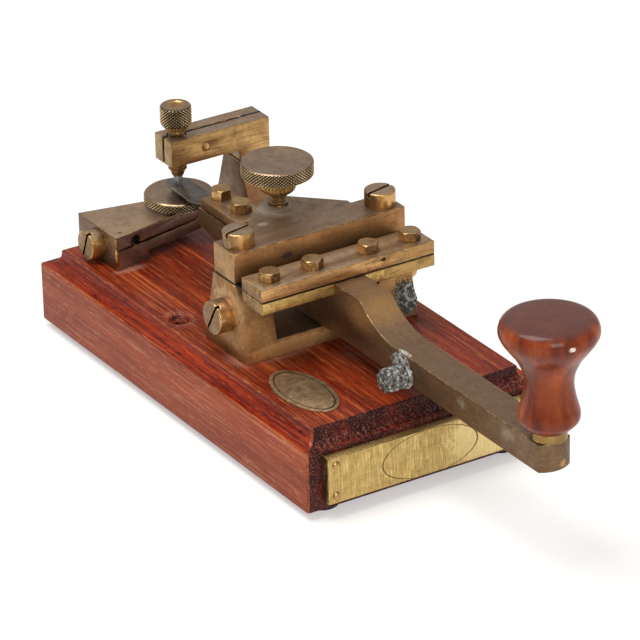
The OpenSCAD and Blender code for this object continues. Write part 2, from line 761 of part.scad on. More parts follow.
module lever_terminal_lug() {
    color(steel) lever_terminal_place() rotate(41) lug(lever_term_head_r + 0.4, term_r + fit, 8, 6.4);
}

// Tension screw and return spring

module tension_screw() {
    neck_z = bridge_top + thumb_neck;
    head_z = neck_z + collar_h;
    low_edge = 0.4;
    top_edge = 1.1;
    color(dull_brass) translate([0, thumb_y, 0]) difference() {
        union() {
            translate([0, 0, pusher_z + pusher_t])
                cylinder(r = thumb_shank_r, h = bridge_top + 2.2 - pusher_z - pusher_t);
            translate([0, 0, bridge_top]) cylinder(r = thumb_neck_r, h = thumb_neck + 0.1);
            translate([0, 0, neck_z]) cylinder(r1 = collar_r - 0.5, r2 = collar_r, h = 0.5);
            translate([0, 0, neck_z + 0.5]) cylinder(r = collar_r, h = collar_h - 0.4);
            translate([0, 0, head_z]) cylinder(r1 = thumb_r - low_edge, r2 = thumb_r, h = low_edge);
            translate([0, 0, head_z + low_edge]) cylinder(r = thumb_r, h = thumb_h - low_edge - top_edge);
            translate([0, 0, head_z + thumb_h - top_edge]) cylinder(r1 = thumb_r, r2 = thumb_r - 1.4, h = top_edge);
        }
        translate([0, 0, head_z + thumb_h - 0.5]) cylinder(r1 = thumb_r - 7, r2 = thumb_r - 2, h = 0.51);
    }
}

module spring_pusher() {
    color(brass) translate([0, thumb_y, 0]) {
        translate([0, 0, pusher_z]) cylinder(r = thumb_shank_r, h = pusher_t);
        translate([0, 0, pusher_z - pusher_stem]) cylinder(r = pusher_stem_r, h = pusher_stem);
    }
}

// The return spring is one tube of six sides that follows a helix with eight rings to a curl
rings_per_curl = 8;
tube_sides = 6;
spring_l = spring_z1 - spring_z0 - 0.1;
spring_rise = spring_l - 2 * wire_r;

function spring_point(u) = [
    spring_r * cos(360 * u), spring_r * sin(360 * u),
    spring_z0 + 0.05 + wire_r + spring_rise * u / spring_turns];

function spring_ring(u) =
    let (out = [cos(360 * u), sin(360 * u), 0], slope = atan(spring_rise / spring_turns / (2 * PI * spring_r)),
         side = [sin(slope) * sin(360 * u), -sin(slope) * cos(360 * u), cos(slope)])
    [for (k = [0:tube_sides - 1])
        spring_point(u) + wire_r * (cos(k * 360 / tube_sides) * out + sin(k * 360 / tube_sides) * side)];

module return_spring() {
    rings = spring_turns * rings_per_curl;
    points = [for (i = [0:rings]) each spring_ring(i / rings_per_curl)];
    last = rings * tube_sides;
    walls = [for (i = [0:rings - 1], k = [0:tube_sides - 1])
        let (a = i * tube_sides + k, b = i * tube_sides + (k + 1) % tube_sides)
        each [[a, b, b + tube_sides], [a, b + tube_sides, a + tube_sides]]];
    caps = [for (k = [1:tube_sides - 2]) each [[0, k + 1, k], [last, last + k, last + k + 1]]];
    color(steel) translate([0, thumb_y, 0]) polyhedron(points = points, faces = concat(walls, caps), convexity = 10);
}

// Least gap between one curl and the next, measured on points along the wire
function spring_gap() = min([for (i = [0:rings_per_curl - 1], j = [rings_per_curl - 2:rings_per_curl + 2])
    norm(spring_point((i + j) / rings_per_curl) - spring_point(i / rings_per_curl))]) - 2 * wire_r;

// Rest contact

module rest_block() {
    end = (block_d - block_tip_d) / 2 / (block_out + block_over);
    color(dull_brass) difference() {
        translate([0, 0, base_h]) linear_extrude(height = block_h) polygon([
            [-block_out, block_y - block_d / 2], [block_over, block_y - block_tip_d / 2],
            [block_over, block_y + block_tip_d / 2], [-block_out, block_y + block_d / 2]]);
        translate([-block_out + block_foot, block_y - block_d, base_h - 1])
            cube([block_out + block_over, 2 * block_d, block_lift + 1]);
        translate([saw_hole_x, block_y - block_d, saw_mid - saw_w / 2])
            cube([block_out + block_over, 2 * block_d, saw_w]);
        translate([saw_hole_x, block_y, saw_hole_z]) rotate([90, 0, 0])
            cylinder(r = saw_hole_r, h = 2 * block_d, center = true);
        translate([0, contact_y, base_h]) cylinder(r = stud_r + fit, h = block_h + 1);
        translate([-block_out - 1, block_y, block_term_z]) rotate([0, 90, 0])
            cylinder(r = term_r + fit, h = term_l + 1.3);
        under_places("block") translate([0, 0, base_h - 1]) cylinder(r = under_r + fit, h = 6.2);
    }
}

module rest_block_screws() {
    color(dull_brass) under_places("block") translate([0, 0, under_sink]) under_screw(base_h - under_sink + 5);
}

module rest_terminal_screw() {
    color(brass) translate([-block_out, block_y, block_term_z]) rotate([0, -90, 0])
        cheese_screw(block_term_head_r, block_term_head_h, term_r, term_l, -22);
}

module rest_contact_screw() {
    foot = base_h + 1.6;
    edge = 0.4;
    color(dull_brass) translate([0, contact_y, 0]) {
        translate([0, 0, foot]) cylinder(r = stud_r, h = disc_z - foot + 0.1);
        translate([0, 0, disc_z]) cylinder(r1 = disc_r - edge, r2 = disc_r, h = edge);
        translate([0, 0, disc_z + edge]) cylinder(r = disc_r, h = disc_t - 2 * edge);
        translate([0, 0, disc_top - edge]) cylinder(r1 = disc_r, r2 = disc_r - edge, h = edge);
    }
}

module rest_contact_tip() {
    color(silver) translate([0, contact_y, disc_top]) cylinder(r = rest_tip_r, h = rest_tip_l);
}

// Upper contact

module contact_post() {
    color(dull_brass) difference() {
        translate([post_mid, 0, 0]) across(post_w) polygon([
            [contact_y - post_d / 2, base_h], [contact_y + post_d / 2, base_h],
            [contact_y + carm_d / 2, post_top], [contact_y - carm_d / 2, post_top]]);
        under_places("post") translate([0, 0, base_h - 1]) cylinder(r = under_r + fit, h = post_h + 2);
    }
}

module post_bolt() {
    color(dull_brass) under_places("post") translate([0, 0, under_sink])
        under_screw(carm_z + 3 - under_sink);
}

module contact_arm() {
    arm_l = carm_out + carm_over;
    slot_l = arm_l - 8.5;
    color(brass) difference() {
        union() {
            translate([-carm_over, contact_y - carm_d / 2, carm_z]) cube([arm_l, carm_d, carm_h]);
            translate([carm_out - post_w, contact_y - carm_d / 2, post_top + seam])
                cube([post_w, carm_d, carm_foot]);
            translate([carm_out - post_w + seam_in, contact_y - carm_d / 2 + seam_in, post_top])
                cube([post_w - 2 * seam_in, carm_d - 2 * seam_in, seam + 1]);
        }
        translate([-carm_over - 1, contact_y - saw_w / 2, carm_z - 1]) cube([slot_l + 1, saw_w, carm_h + 2]);
        translate([0, contact_y, carm_z - 1]) cylinder(r = stud_r + fit, h = carm_h + 2);
        translate([pinch_x, contact_y, pinch_z]) rotate([90, 0, 0])
            cylinder(r = pinch_r + fit, h = carm_d + 2, center = true);
        translate([pinch_x, contact_y + carm_d / 2 - pinch_head_h, pinch_z]) rotate([-90, 0, 0])
            cylinder(r = pinch_head_r + 0.3, h = pinch_head_h + 1);
        under_places("post") translate([0, 0, post_top - 1]) cylinder(r = under_r + fit, h = carm_foot + 4.4);
    }
}

module pinch_screw() {
    color(brass) translate([pinch_x, contact_y + carm_d / 2 - pinch_head_h, pinch_z]) rotate([-90, 0, 0])
        difference() {
            union() {
                cylinder(r = pinch_head_r, h = pinch_head_h);
                translate([0, 0, pinch_head_h - carm_d]) cylinder(r = pinch_r, h = carm_d - pinch_head_h);
            }
            translate([-pinch_head_r - 1, -0.4, pinch_head_h - 0.9]) cube([2 * pinch_head_r + 2, 0.8, 2]);
        }
}

module upper_contact_screw() {
    head_z = carm_top + head_neck;
    edge = 0.6;
    color(brass) translate([0, contact_y, 0]) difference() {
        union() {
            translate([0, 0, tip_z + tip_l]) cylinder(r1 = tip_r + 0.5, r2 = stud_r - 0.6, h = stud_z - tip_z - tip_l);
            translate([0, 0, stud_z]) cylinder(r = stud_r, h = carm_top - 0.5 - stud_z);
            translate([0, 0, carm_top - 1]) cylinder(r = head_neck_r, h = head_neck + 1.1);
            translate([0, 0, head_z]) cylinder(r1 = head_r - head_taper_in, r2 = head_r, h = head_taper);
            translate([0, 0, head_z + head_taper]) cylinder(r = head_r, h = head_h - head_taper - edge);
            translate([0, 0, head_z + head_h - edge]) cylinder(r1 = head_r, r2 = head_r - edge, h = edge);
        }
        translate([0, 0, head_z + head_h - 0.6]) cylinder(r1 = 2.4, r2 = 3.9, h = 0.61);
    }
}

module upper_contact_tip() {
    color(silver) translate([0, contact_y, tip_z]) cylinder(r = tip_r, h = tip_l);
}

echo(spring_gap = spring_gap());
echo(shift_y = shift_y, hinge_y = bar_rear + flex_gap / 2 + shift_y, hinge_z = sheet_z + sheet_t / 2 + foot_h,
     contact_y = contact_y + shift_y, thumb_y = thumb_y + shift_y, bench_y = bench_y + shift_y);

placed() base();
placed() rubber_feet();
placed() nameplate();
placed() nameplate_pins();
placed() badge();
placed() stand();
placed() stand_screws();
placed() flexure_sheet();
placed() bridge();
placed() bridge_screws();
placed() stand_terminal_screws();
placed() upper_clamp_bar();
placed() lower_clamp_bar();
placed() clamp_bolts();
placed() lever_arm();
placed() lever_bar_screw();
placed() knob();
placed() knob_ferrule();
placed() knob_screw();
placed() contact_tongue();
placed() tongue_plate();
placed() tongue_bolts();
placed() lever_terminal_screw();
placed() lever_terminal_lug();
placed() tension_screw();
placed() spring_pusher();
placed() return_spring();
placed() rest_block();
placed() rest_block_screws();
placed() rest_terminal_screw();
placed() rest_contact_screw();
placed() rest_contact_tip();
placed() contact_post();
placed() post_bolt();
placed() contact_arm();
placed() pinch_screw();
placed() upper_contact_screw();
placed() upper_contact_tip();
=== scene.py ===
import bpy
import json
import math
from mathutils import Matrix, Vector

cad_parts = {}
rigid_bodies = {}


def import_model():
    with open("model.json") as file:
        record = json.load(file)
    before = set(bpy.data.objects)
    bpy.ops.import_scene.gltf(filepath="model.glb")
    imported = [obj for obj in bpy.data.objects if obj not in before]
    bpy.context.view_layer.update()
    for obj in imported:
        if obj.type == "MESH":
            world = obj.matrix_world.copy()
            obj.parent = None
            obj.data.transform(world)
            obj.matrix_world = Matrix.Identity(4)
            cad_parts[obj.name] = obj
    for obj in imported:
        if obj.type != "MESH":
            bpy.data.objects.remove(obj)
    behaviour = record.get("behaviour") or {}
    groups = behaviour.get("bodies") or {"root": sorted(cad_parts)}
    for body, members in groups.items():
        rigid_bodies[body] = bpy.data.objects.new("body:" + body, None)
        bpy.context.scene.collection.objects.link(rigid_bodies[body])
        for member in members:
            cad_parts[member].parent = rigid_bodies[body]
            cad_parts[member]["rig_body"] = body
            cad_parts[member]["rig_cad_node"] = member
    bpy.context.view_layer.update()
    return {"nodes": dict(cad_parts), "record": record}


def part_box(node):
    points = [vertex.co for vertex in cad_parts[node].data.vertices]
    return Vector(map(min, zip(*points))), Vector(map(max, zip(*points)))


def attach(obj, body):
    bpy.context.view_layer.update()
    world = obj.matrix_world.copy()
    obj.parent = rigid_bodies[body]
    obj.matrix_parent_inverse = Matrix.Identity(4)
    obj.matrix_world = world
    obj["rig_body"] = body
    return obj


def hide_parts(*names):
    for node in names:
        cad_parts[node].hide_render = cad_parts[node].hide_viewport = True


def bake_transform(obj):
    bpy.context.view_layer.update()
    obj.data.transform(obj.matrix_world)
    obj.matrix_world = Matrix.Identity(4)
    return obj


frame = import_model()
mm = 0.001
mergeReach = 0.002 * mm


def toLinear(hexColour):
    values = [int(hexColour[i:i + 2], 16) / 255 for i in (1, 3, 5)]
    return tuple(v / 12.92 if v <= 0.04045 else ((v + 0.055) / 1.055) ** 2.4 for v in values) + (1.0,)


def addNode(tree, kind, values=None, links=None, stops=None, **settings):
    made = tree.nodes.new(kind)
    for key, value in settings.items():
        setattr(made, key, value)
    for key, value in (values or {}).items():
        made.inputs[key].default_value = value
    for key, source in (links or {}).items():
        tree.links.new(source[0].outputs[source[1]], made.inputs[key])
    if stops:
        while len(made.color_ramp.elements) < len(stops):
            made.color_ramp.elements.new(0.5)
        for element, (where, colour) in zip(made.color_ramp.elements, stops):
            element.position = where
            element.color = toLinear(colour) if isinstance(colour, str) else (colour, colour, colour, 1)
    return made


def newMaterial(name):
    made = bpy.data.materials.new(name)
    made.use_nodes = True
    tree = made.node_tree
    tree.nodes.clear()
    out = addNode(tree, "ShaderNodeOutputMaterial")
    shader = addNode(tree, "ShaderNodeBsdfPrincipled")
    tree.links.new(shader.outputs["BSDF"], out.inputs["Surface"])
    return made, tree, shader, (addNode(tree, "ShaderNodeTexCoord"), "Object")


# Short forms of the nodes that most finishes use. What they give back can be linked by addNode
def ramp(tree, source, start, end, low=0.0, high=1.0):
    return addNode(tree, "ShaderNodeMapRange", {1: start, 2: end, 3: low, 4: high}, {0: source}), 0


def combine(tree, kind, operation, first, second, out):
    linked = isinstance(second, tuple) and isinstance(second[0], bpy.types.Node)
    values = None if second is None or linked else {1: second}
    links = {0: first, 1: second} if linked else {0: first}
    return addNode(tree, kind, values, links, operation=operation), out


def maths(tree, operation, first, second=None):
    return combine(tree, "ShaderNodeMath", operation, first, second, 0)


def vectorMaths(tree, operation, first, second=None, out=0):
    return combine(tree, "ShaderNodeVectorMath", operation, first, second, out)


def noise(tree, coordinate, size, detail, **more):
    values = {"Scale": 1000 / size, "Detail": detail, **more}
    return addNode(tree, "ShaderNodeTexNoise", values, {"Vector": coordinate}), "Fac"


def stretchedNoise(tree, coordinate, scale, detail, **more):
    stretched = addNode(tree, "ShaderNodeMapping", {"Scale": scale}, {"Vector": coordinate})
    return noise(tree, (stretched, 0), 1000, detail, **more)


def tones(tree, source, *stops):
    return addNode(tree, "ShaderNodeValToRGB", None, {0: source}, stops=stops), 0


def facing(tree):
    normal = addNode(tree, "ShaderNodeNewGeometry"), "Normal"
    return addNode(tree, "ShaderNodeSeparateXYZ", None, {0: normal})


def mixOver(tree, under, share, over):
    return addNode(tree, "ShaderNodeMix", {7: toLinear(over)}, {0: share, 6: under}, data_type="RGBA"), 2


# Each tint is (source, start, end, share, key): the look's colour of that key, laid where the source runs
# from start to end
def layTints(tree, colour, look, *tints):
    for source, start, end, share, key in tints:
        colour = mixOver(tree, colour, ramp(tree, source, start, end, 0.0, share), look[key])
    return colour


def feed(tree, source, shader, name):
    tree.links.new(source[0].outputs[source[1]], shader.inputs[name])


def addBump(tree, shader, height, strength, distance):
    values = {"Strength": strength, "Distance": distance * mm}
    bump = addNode(tree, "ShaderNodeBump", values, {"Height": height})
    feed(tree, (bump, 0), shader, "Normal")


def middle(node):
    low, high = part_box(node)
    return (low + high) / 2


def toEdit():
    bpy.ops.object.mode_set(mode="EDIT")


def toObject():
    bpy.ops.object.mode_set(mode="OBJECT")


def onlySelect(piece):
    bpy.ops.object.select_all(action="DESELECT")
    piece.select_set(True)
    bpy.context.view_layer.objects.active = piece


def applyModifiers(piece):
    onlySelect(piece)
    for name in [m.name for m in piece.modifiers]:
        bpy.ops.object.modifier_apply(modifier=name)


def setMaterials(piece, *materials):
    piece.data.materials.clear()
    for material in materials:
        piece.data.materials.append(material)


def settle(piece, name, body, slotName, *nodes):
    onlySelect(piece)
    bpy.ops.object.transform_apply(location=True, rotation=True, scale=True)
    piece.name = name
    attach(piece, body)
    if nodes:
        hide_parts(*nodes)
    return piece


bodyOf = {n: o["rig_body"] for n, o in frame["nodes"].items()}
slotOf = {s["node"]: s["material_slot"] for s in frame["record"]["subparts"]}

# How far below a screw's face the dirt and painted shade in its slot start and end, and their distance from
# the rim, in mm
slotDirtShade = {"start": 0.25, "end": 2.2, "rim": 0.4}


# The floor and walls of the screw slots keep their dirt and get painted shade. Each head is (middle, way out,
# radius)
def dirtyShadedSlots(piece, heads):
    start, end, rim = (slotDirtShade[k] * mm for k in ("start", "end", "rim"))
    piece.data.materials.append(brass["slot"])
    for face in piece.data.polygons:
        for middlePoint, way, radius in heads:
            shift = face.center - Vector(middlePoint)
            along = shift.dot(Vector(way))
            across = (shift - along * Vector(way)).length
            if -end < along < -start and across < radius - rim:
                face.material_index = len(piece.data.materials) - 1


# A copy of a CAD piece, with its doubled points merged
def copyPiece(node):
    source = frame["nodes"][node]
    bpy.ops.object.select_all(action="DESELECT")
    piece = source.copy()
    piece.data = source.data.copy()
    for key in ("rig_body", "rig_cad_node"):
        if key in piece:
            del piece[key]
    bpy.context.scene.collection.objects.link(piece)
    piece.parent = None
    onlySelect(piece)
    bpy.ops.mesh.customdata_custom_splitnormals_clear()
    toEdit()
    bpy.ops.mesh.select_all(action="SELECT")
    bpy.ops.mesh.remove_doubles(threshold=mergeReach)
    return piece


# A finished copy of a CAD piece: its corners are broken as a file would leave them, and the broken
# corners get the last material
def finishCorners(node, name, width, materials, angle=40, segments=2, smooth=35, rounded=None):
    piece = copyPiece(node)
    bpy.ops.mesh.dissolve_limited(angle_limit=math.radians(0.6))
    toObject()
    setMaterials(piece, *materials)
    for face in piece.data.polygons:
        face.material_index = 0
    if rounded:        # one upright corner, hammered and worn rounder than the rest
        x, y, reach = rounded
        toEdit()
        bpy.ops.mesh.select_mode(type="EDGE")
        bpy.ops.mesh.select_all(action="DESELECT")
        toObject()
        for edge in piece.data.edges:
            ends = [piece.data.vertices[i].co for i in edge.vertices]
            edge.select = all(math.hypot(e.x - x, e.y - y) < 0.05 * mm for e in ends)
        toEdit()
        bpy.ops.mesh.bevel(offset=reach * mm, segments=4, material=len(materials) - 1)
        bpy.ops.mesh.select_mode(type="VERT")
        toObject()
    corner = piece.modifiers.new("corner", "BEVEL")
    corner.width = width * mm
    corner.segments = segments
    corner.limit_method = "ANGLE"
    corner.angle_limit = math.radians(angle)
    corner.use_clamp_overlap = False
    corner.material = len(materials) - 1
    applyModifiers(piece)
    bpy.ops.object.shade_smooth_by_angle(angle=math.radians(smooth))
    return settle(piece, name, bodyOf[node], slotOf[node], node)


def smoothBy(piece, degrees):
    onlySelect(piece)
    bpy.ops.object.shade_smooth_by_angle(angle=math.radians(degrees))


# Where a turned piece stands: its centre, and its radius, top and foot in mm
def turnedBox(node):
    low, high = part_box(node)
    centre = ((low.x + high.x) / 2, (low.y + high.y) / 2)
    return centre, (high.x - low.x) / 2 / mm, high.z / mm, low.z / mm


# A turned piece: a ring of points is extruded and resized from one (radius, height) to the next
def turnPiece(centre, outline, sides):
    bpy.ops.object.select_all(action="DESELECT")
    radius, height = outline[0]
    spot = (centre[0], centre[1], height * mm)
    bpy.ops.mesh.primitive_circle_add(vertices=sides, radius=radius * mm, fill_type="NGON", location=spot)
    piece = bpy.context.object
    bpy.ops.object.transform_apply(location=True, rotation=True, scale=True)
    toEdit()
    bpy.ops.mesh.select_all(action="SELECT")
    for (r0, z0), (r1, z1) in zip(outline[:-1], outline[1:]):
        bpy.ops.mesh.extrude_region_move(TRANSFORM_OT_translate={"value": (0, 0, (z1 - z0) * mm)})
        share = r1 / r0
        bpy.ops.transform.resize(value=(share, share, 1), center_override=(centre[0], centre[1], z1 * mm))
    bpy.ops.mesh.select_all(action="SELECT")
    bpy.ops.mesh.normals_make_consistent(inside=False)
    toObject()
    return piece


# Presses every second point of a band inwards, chequered for diamonds or in columns for flutes
def pressPoints(piece, centre, low, high, sides, depth, radius, rowHeights=None, reach=0.2):
    onlySelect(piece)
    toEdit()
    bpy.ops.mesh.select_mode(type="VERT")
    bpy.ops.mesh.select_all(action="DESELECT")
    toObject()
    for point in piece.data.vertices:
        z = point.co.z / mm
        away = math.hypot(point.co.x - centre[0], point.co.y - centre[1]) / mm
        if not (low - 0.01 < z < high + 0.01 and abs(away - radius) < reach):
            continue
        turn = math.atan2(point.co.y - centre[1], point.co.x - centre[0]) / (2 * math.pi) * sides
        row = 0 if rowHeights is None else min(range(len(rowHeights)), key=lambda i: abs(rowHeights[i] - z))
        point.select = (round(turn) + row) % 2 == 0
    toEdit()
    share = (radius - depth) / radius
    bpy.ops.transform.resize(value=(share, share, 1), center_override=(centre[0], centre[1], 0))
    if rowHeights is not None:
        bpy.ops.mesh.select_all(action="DESELECT")
        bpy.ops.mesh.select_mode(type="FACE")
        toObject()
        for face in piece.data.polygons:
            away = math.hypot(face.center.x - centre[0], face.center.y - centre[1]) / mm
            face.select = low < face.center.z / mm < high and away > radius - 2 * depth - reach
        toEdit()
        bpy.ops.mesh.quads_convert_to_tris(quad_method="SHORTEST_DIAGONAL", ngon_method="BEAUTY")
    bpy.ops.mesh.select_mode(type="VERT")
    toObject()


def rows(low, high, count):
    return [low + (high - low) * i / count for i in range(count + 1)]


# Heights and radii of a screw thread, crest and root in turn
def threadOutline(low, high, pitch, crest, depth):
    count = max(1, round((high - low) / pitch))
    step = (high - low) / count
    outline = []
    for i in range(count):
        z = low + i * step
        outline += [(crest - depth, z), (crest - depth, z + 0.12 * step), (crest, z + 0.45 * step),
                    (crest, z + 0.62 * step)]
    return outline + [(crest - depth, high)]


# A mark is an ellipsoid round a place, broken up into specks of the grain's size. Size and grain are in mm.
# A stain only colours the surface. On brass a deposit is a dull raised crust as well
def stain(at, size, grain, colour, amount, fill=0.5, inner=0.2, ring=None, feather=0.05, crust=False):
    return {"at": at, "size": size, "grain": grain, "colour": colour, "amount": amount, "fill": fill,
            "inner": inner, "ring": ring, "feather": feather, "crust": crust}


def deposit(*values, **more):
    return stain(*values, crust=True, **more)


def layMarks(tree, coordinate, colour, marks):
    cover = None
    for mark in marks:
        shift = vectorMaths(tree, "SUBTRACT", coordinate, mark["at"])
        shaped = vectorMaths(tree, "DIVIDE", shift, [s * mm for s in mark["size"]])
        length = vectorMaths(tree, "LENGTH", shaped, out="Value")
        if mark["ring"]:        # a ring at this share of the size, instead of a filled patch
            off = maths(tree, "ABSOLUTE", maths(tree, "SUBTRACT", length, mark["ring"]))
            soft = ramp(tree, off, 0.0, 1.0 - mark["ring"], 0.5, 0.0)
        else:
            soft = ramp(tree, length, mark["inner"], 1.0, 0.5, 0.0)
        summed = maths(tree, "ADD", soft, noise(tree, coordinate, mark["grain"], 6, Roughness=0.8))
        edge = 1.04 - 0.24 * mark["fill"]        # soft and noise come to about 1 in the middle of a mark
        share = ramp(tree, summed, edge - mark["feather"], edge + mark["feather"], 0.0, mark["amount"])
        colour = mixOver(tree, colour, share, mark["colour"])
        if mark["crust"]:
            cover = maths(tree, "MAXIMUM", cover, share) if cover else share
    return colour, cover


# Brass bar stock, sawn, filed and aged for decades: brown tops where dust and hands leave a skin,
# golden sides with fine file lines, dark pits and a few bright scratches
def agedBrass(name, changes):
    look = {**brassBasis, **changes}
    material, tree, shader, coordinate = newMaterial(name)
    way = facing(tree)
    tone = addNode(tree, "ShaderNodeRGB")
    tone.outputs[0].default_value = toLinear(look["side"])
    colour = (tone, 0)
    # front and left faces take tones of their own by the way a face points: partly real skin, partly painted
    # light and shade
    for key, axis in (("front", 1), ("left", 0)):
        if key in look:
            colour = layTints(tree, colour, look, ((way, axis), -0.4, -0.8, 1.0, key))
    if "knurl" in look:
        # dirt and painted shade in the valleys, and bare crests with a painted highlight, told apart by their
        # distance from the screw's middle
        x, y, radius, depth = look["knurl"]
        shift = vectorMaths(tree, "SUBTRACT", coordinate, (x, y, 0))
        away = vectorMaths(tree, "LENGTH", vectorMaths(tree, "MULTIPLY", shift, (1, 1, 0)), out="Value")
        for start, end, key in ((1.6, 1.3, "valleyDirtShade"), (0.75, 0.15, "crest")):
            start, end = (radius - start * depth) * mm, (radius - end * depth) * mm
            colour = layTints(tree, colour, look, (away, start, end, 1.0, key))
    up = ramp(tree, (way, 2), 0.45, 0.85)
    colour = mixOver(tree, colour, up, look["top"])
    # skin that is uneven over about 5 mm
    cloud = noise(tree, coordinate, 5, 8, Roughness=0.78)
    colour = layTints(tree, colour, look, (cloud, 0.46, 0.66, look["cloud"], "dark"),
                      (cloud, 0.46, 0.3, look["pale"], "bright"))
    # file lines, 0.45 mm apart and 8 mm long
    scale = [1000 / 8 if axis == look["lines"] else 2200 for axis in "xyz"]
    lines = stretchedNoise(tree, coordinate, scale, 4, Roughness=0.65)
    shares = [ramp(tree, lines, start, end, 0.0, look["scratch"])
              for start, end in ((0.54, 0.68), (0.46, 0.32))]
    if look["plainTop"]:        # tops were never filed again, so their lines are faint
        faint = ramp(tree, up, 0.0, 1.0, 1.0, 0.35)
        shares = [maths(tree, "MULTIPLY", share, faint) for share in shares]
    for share, key in zip(shares, ("bright", "dark")):
        colour = mixOver(tree, colour, share, look[key])
    # pits and chipped specks, from a grain of 0.9 mm
    pits = noise(tree, coordinate, 0.9, 5, Roughness=0.75)
    colour = layTints(tree, colour, look, (pits, 0.59, 0.66, look["pits"], "pit"),
                      (pits, 0.42, 0.35, look["spark"], "bright"))
    colour, cover = layMarks(tree, coordinate, colour, look["marks"])
    feed(tree, colour, shader, "Base Color")
    roughness = ramp(tree, cloud, 0.35, 0.65, look["roughness"] - 0.07, look["roughness"] + 0.12)
    height = maths(tree, "SUBTRACT", maths(tree, "MULTIPLY", lines, 0.6), pits)
    shader.inputs["Metallic"].default_value = look["metallic"]
    if cover:        # dust and crust are dull, raised and no metal
        roughness = (addNode(tree, "ShaderNodeMix", {3: 0.85}, {0: cover, 2: roughness}), 0)
        feed(tree, ramp(tree, cover, 0.0, 1.0, look["metallic"], 0.1), shader, "Metallic")
        height = maths(tree, "ADD", height, cover)
    feed(tree, roughness, shader, "Roughness")
    addBump(tree, shader, height, look["relief"], 0.06)
    return material


# Worn corners of the same brass, where the skin has rubbed off in places
def wornCorner(name, look):
    material, tree, shader, coordinate = newMaterial(name)
    wear = noise(tree, coordinate, 3.5, 7, Roughness=0.8)
    tone = tones(tree, wear, (0.40, look["skin"]), (0.5, look["rubbed"]), (0.62, look["bare"]))
    feed(tree, tone, shader, "Base Color")
    shader.inputs["Metallic"].default_value = 0.95
    shader.inputs["Roughness"].default_value = look["roughness"]
    return material


# What the brass looks have in common, unless a look says otherwise
brassBasis = {"lines": "x", "metallic": 0.85, "roughness": 0.4, "cloud": 0.5, "pale": 0.25, "scratch": 0.5,
              "pits": 0.6, "spark": 0.3, "relief": 0.35, "plainTop": True, "marks": []}
# Each look's front and left tones are partly painted light and shade, for faces that point that way
brassLooks = {
    # slot: dirt and painted shade for the floors and walls of screw slots
    "slot": {"top": "#3E2C1C", "side": "#2C1E12", "dark": "#1A110A", "bright": "#6A4C2C",
        "pit": "#140C06", "metallic": 0.6, "roughness": 0.6, "scratch": 0.1},
    "stand": {"top": "#86694C", "side": "#8E6A40", "front": "#B98A58", "left": "#936B42",
        "dark": "#64452A", "bright": "#C79F66", "pit": "#2E1E10", "cloud": 0.6, "scratch": 0.4,
        "pits": 0.4},
    "bridge": {"top": "#8F745B", "side": "#7C5A34", "front": "#AE7E4F", "left": "#AC875C",
        "dark": "#5D432D", "bright": "#B58C58", "pit": "#3A281A", "roughness": 0.42, "scratch": 0.4,
        "pits": 0.45},
    "bars": {"top": "#AA8E71", "side": "#8E6A3A", "front": "#D7A66D", "left": "#7F6443",
        "dark": "#573B24", "bright": "#D9B273", "pit": "#2A1A0C", "metallic": 0.88, "roughness": 0.36,
        "scratch": 0.75, "pits": 0.75},
    "lowBar": {"top": "#8A7058", "side": "#8E6A3A", "front": "#DBB76C", "left": "#876B47",
        "dark": "#51351B", "bright": "#DDB777", "pit": "#2A1A0C", "metallic": 0.88, "roughness": 0.36,
        "cloud": 0.75, "scratch": 0.6},
    "lever": {"top": "#795F48", "side": "#6A5038", "front": "#755C44", "left": "#694E36",
        "dark": "#4A3624", "bright": "#A08460", "pit": "#33241A", "lines": "y", "metallic": 0.82,
        "roughness": 0.44, "cloud": 0.45, "pale": 0.15, "scratch": 0.3, "pits": 0.35},
    "carrier": {"top": "#9F8670", "side": "#906A3C", "front": "#C39C64", "left": "#9A7F5A",
        "dark": "#5F4024", "bright": "#DDB576", "pit": "#2C1B0D", "metallic": 0.88, "roughness": 0.38,
        "scratch": 0.6, "pits": 0.8, "spark": 0.5},
    "block": {"top": "#AC8E71", "side": "#8A6A48", "front": "#8E7A6E", "left": "#6A5440",
        "dark": "#553C28", "bright": "#C7A272", "pit": "#2E2016", "roughness": 0.38, "scratch": 0.35,
        "pits": 0.45},
    "post": {"top": "#8E745C", "side": "#7E6448", "front": "#A97D54", "left": "#614A31",
        "dark": "#553C28", "bright": "#B89468", "pit": "#2E2016", "scratch": 0.35, "pits": 0.4},
    "turned": {"top": "#A68B70", "side": "#CC9F64", "left": "#7D603F", "dark": "#67482C",
        "bright": "#E6C88E", "pit": "#3E2A18", "lines": "z", "metallic": 0.92, "roughness": 0.3,
        "scratch": 0.2, "pits": 0.4, "relief": 0.15},
    # the hexagon's dark front faces are painted shade and its bright left faces painted light
    "hexagon": {"top": "#B08A5C", "side": "#A87E43", "front": "#6E4E2C", "left": "#CCA469",
        "dark": "#5E3E20", "bright": "#F0D6A4", "pit": "#5A3420", "lines": "y", "metallic": 0.95,
        "roughness": 0.3, "cloud": 0.55, "scratch": 0.2, "pits": 0.85, "spark": 0.4, "relief": 0.15},
    "plate": {"top": "#8C6F40", "side": "#BFA161", "left": "#3E2A1A", "dark": "#8E7038",
        "bright": "#F6E2A6", "pit": "#8C6C38", "lines": "z", "metallic": 0.8, "cloud": 0.55,
        "scratch": 0.7, "pits": 0.8, "plainTop": False},
    "ferrule": {"top": "#B08A50", "side": "#8A6C40", "dark": "#6A4826", "bright": "#EDD8A4",
        "pit": "#54381C", "lines": "y", "metallic": 1.0, "roughness": 0.16, "cloud": 0.3, "scratch": 0.1,
        "pits": 0.15, "relief": 0.1},
}
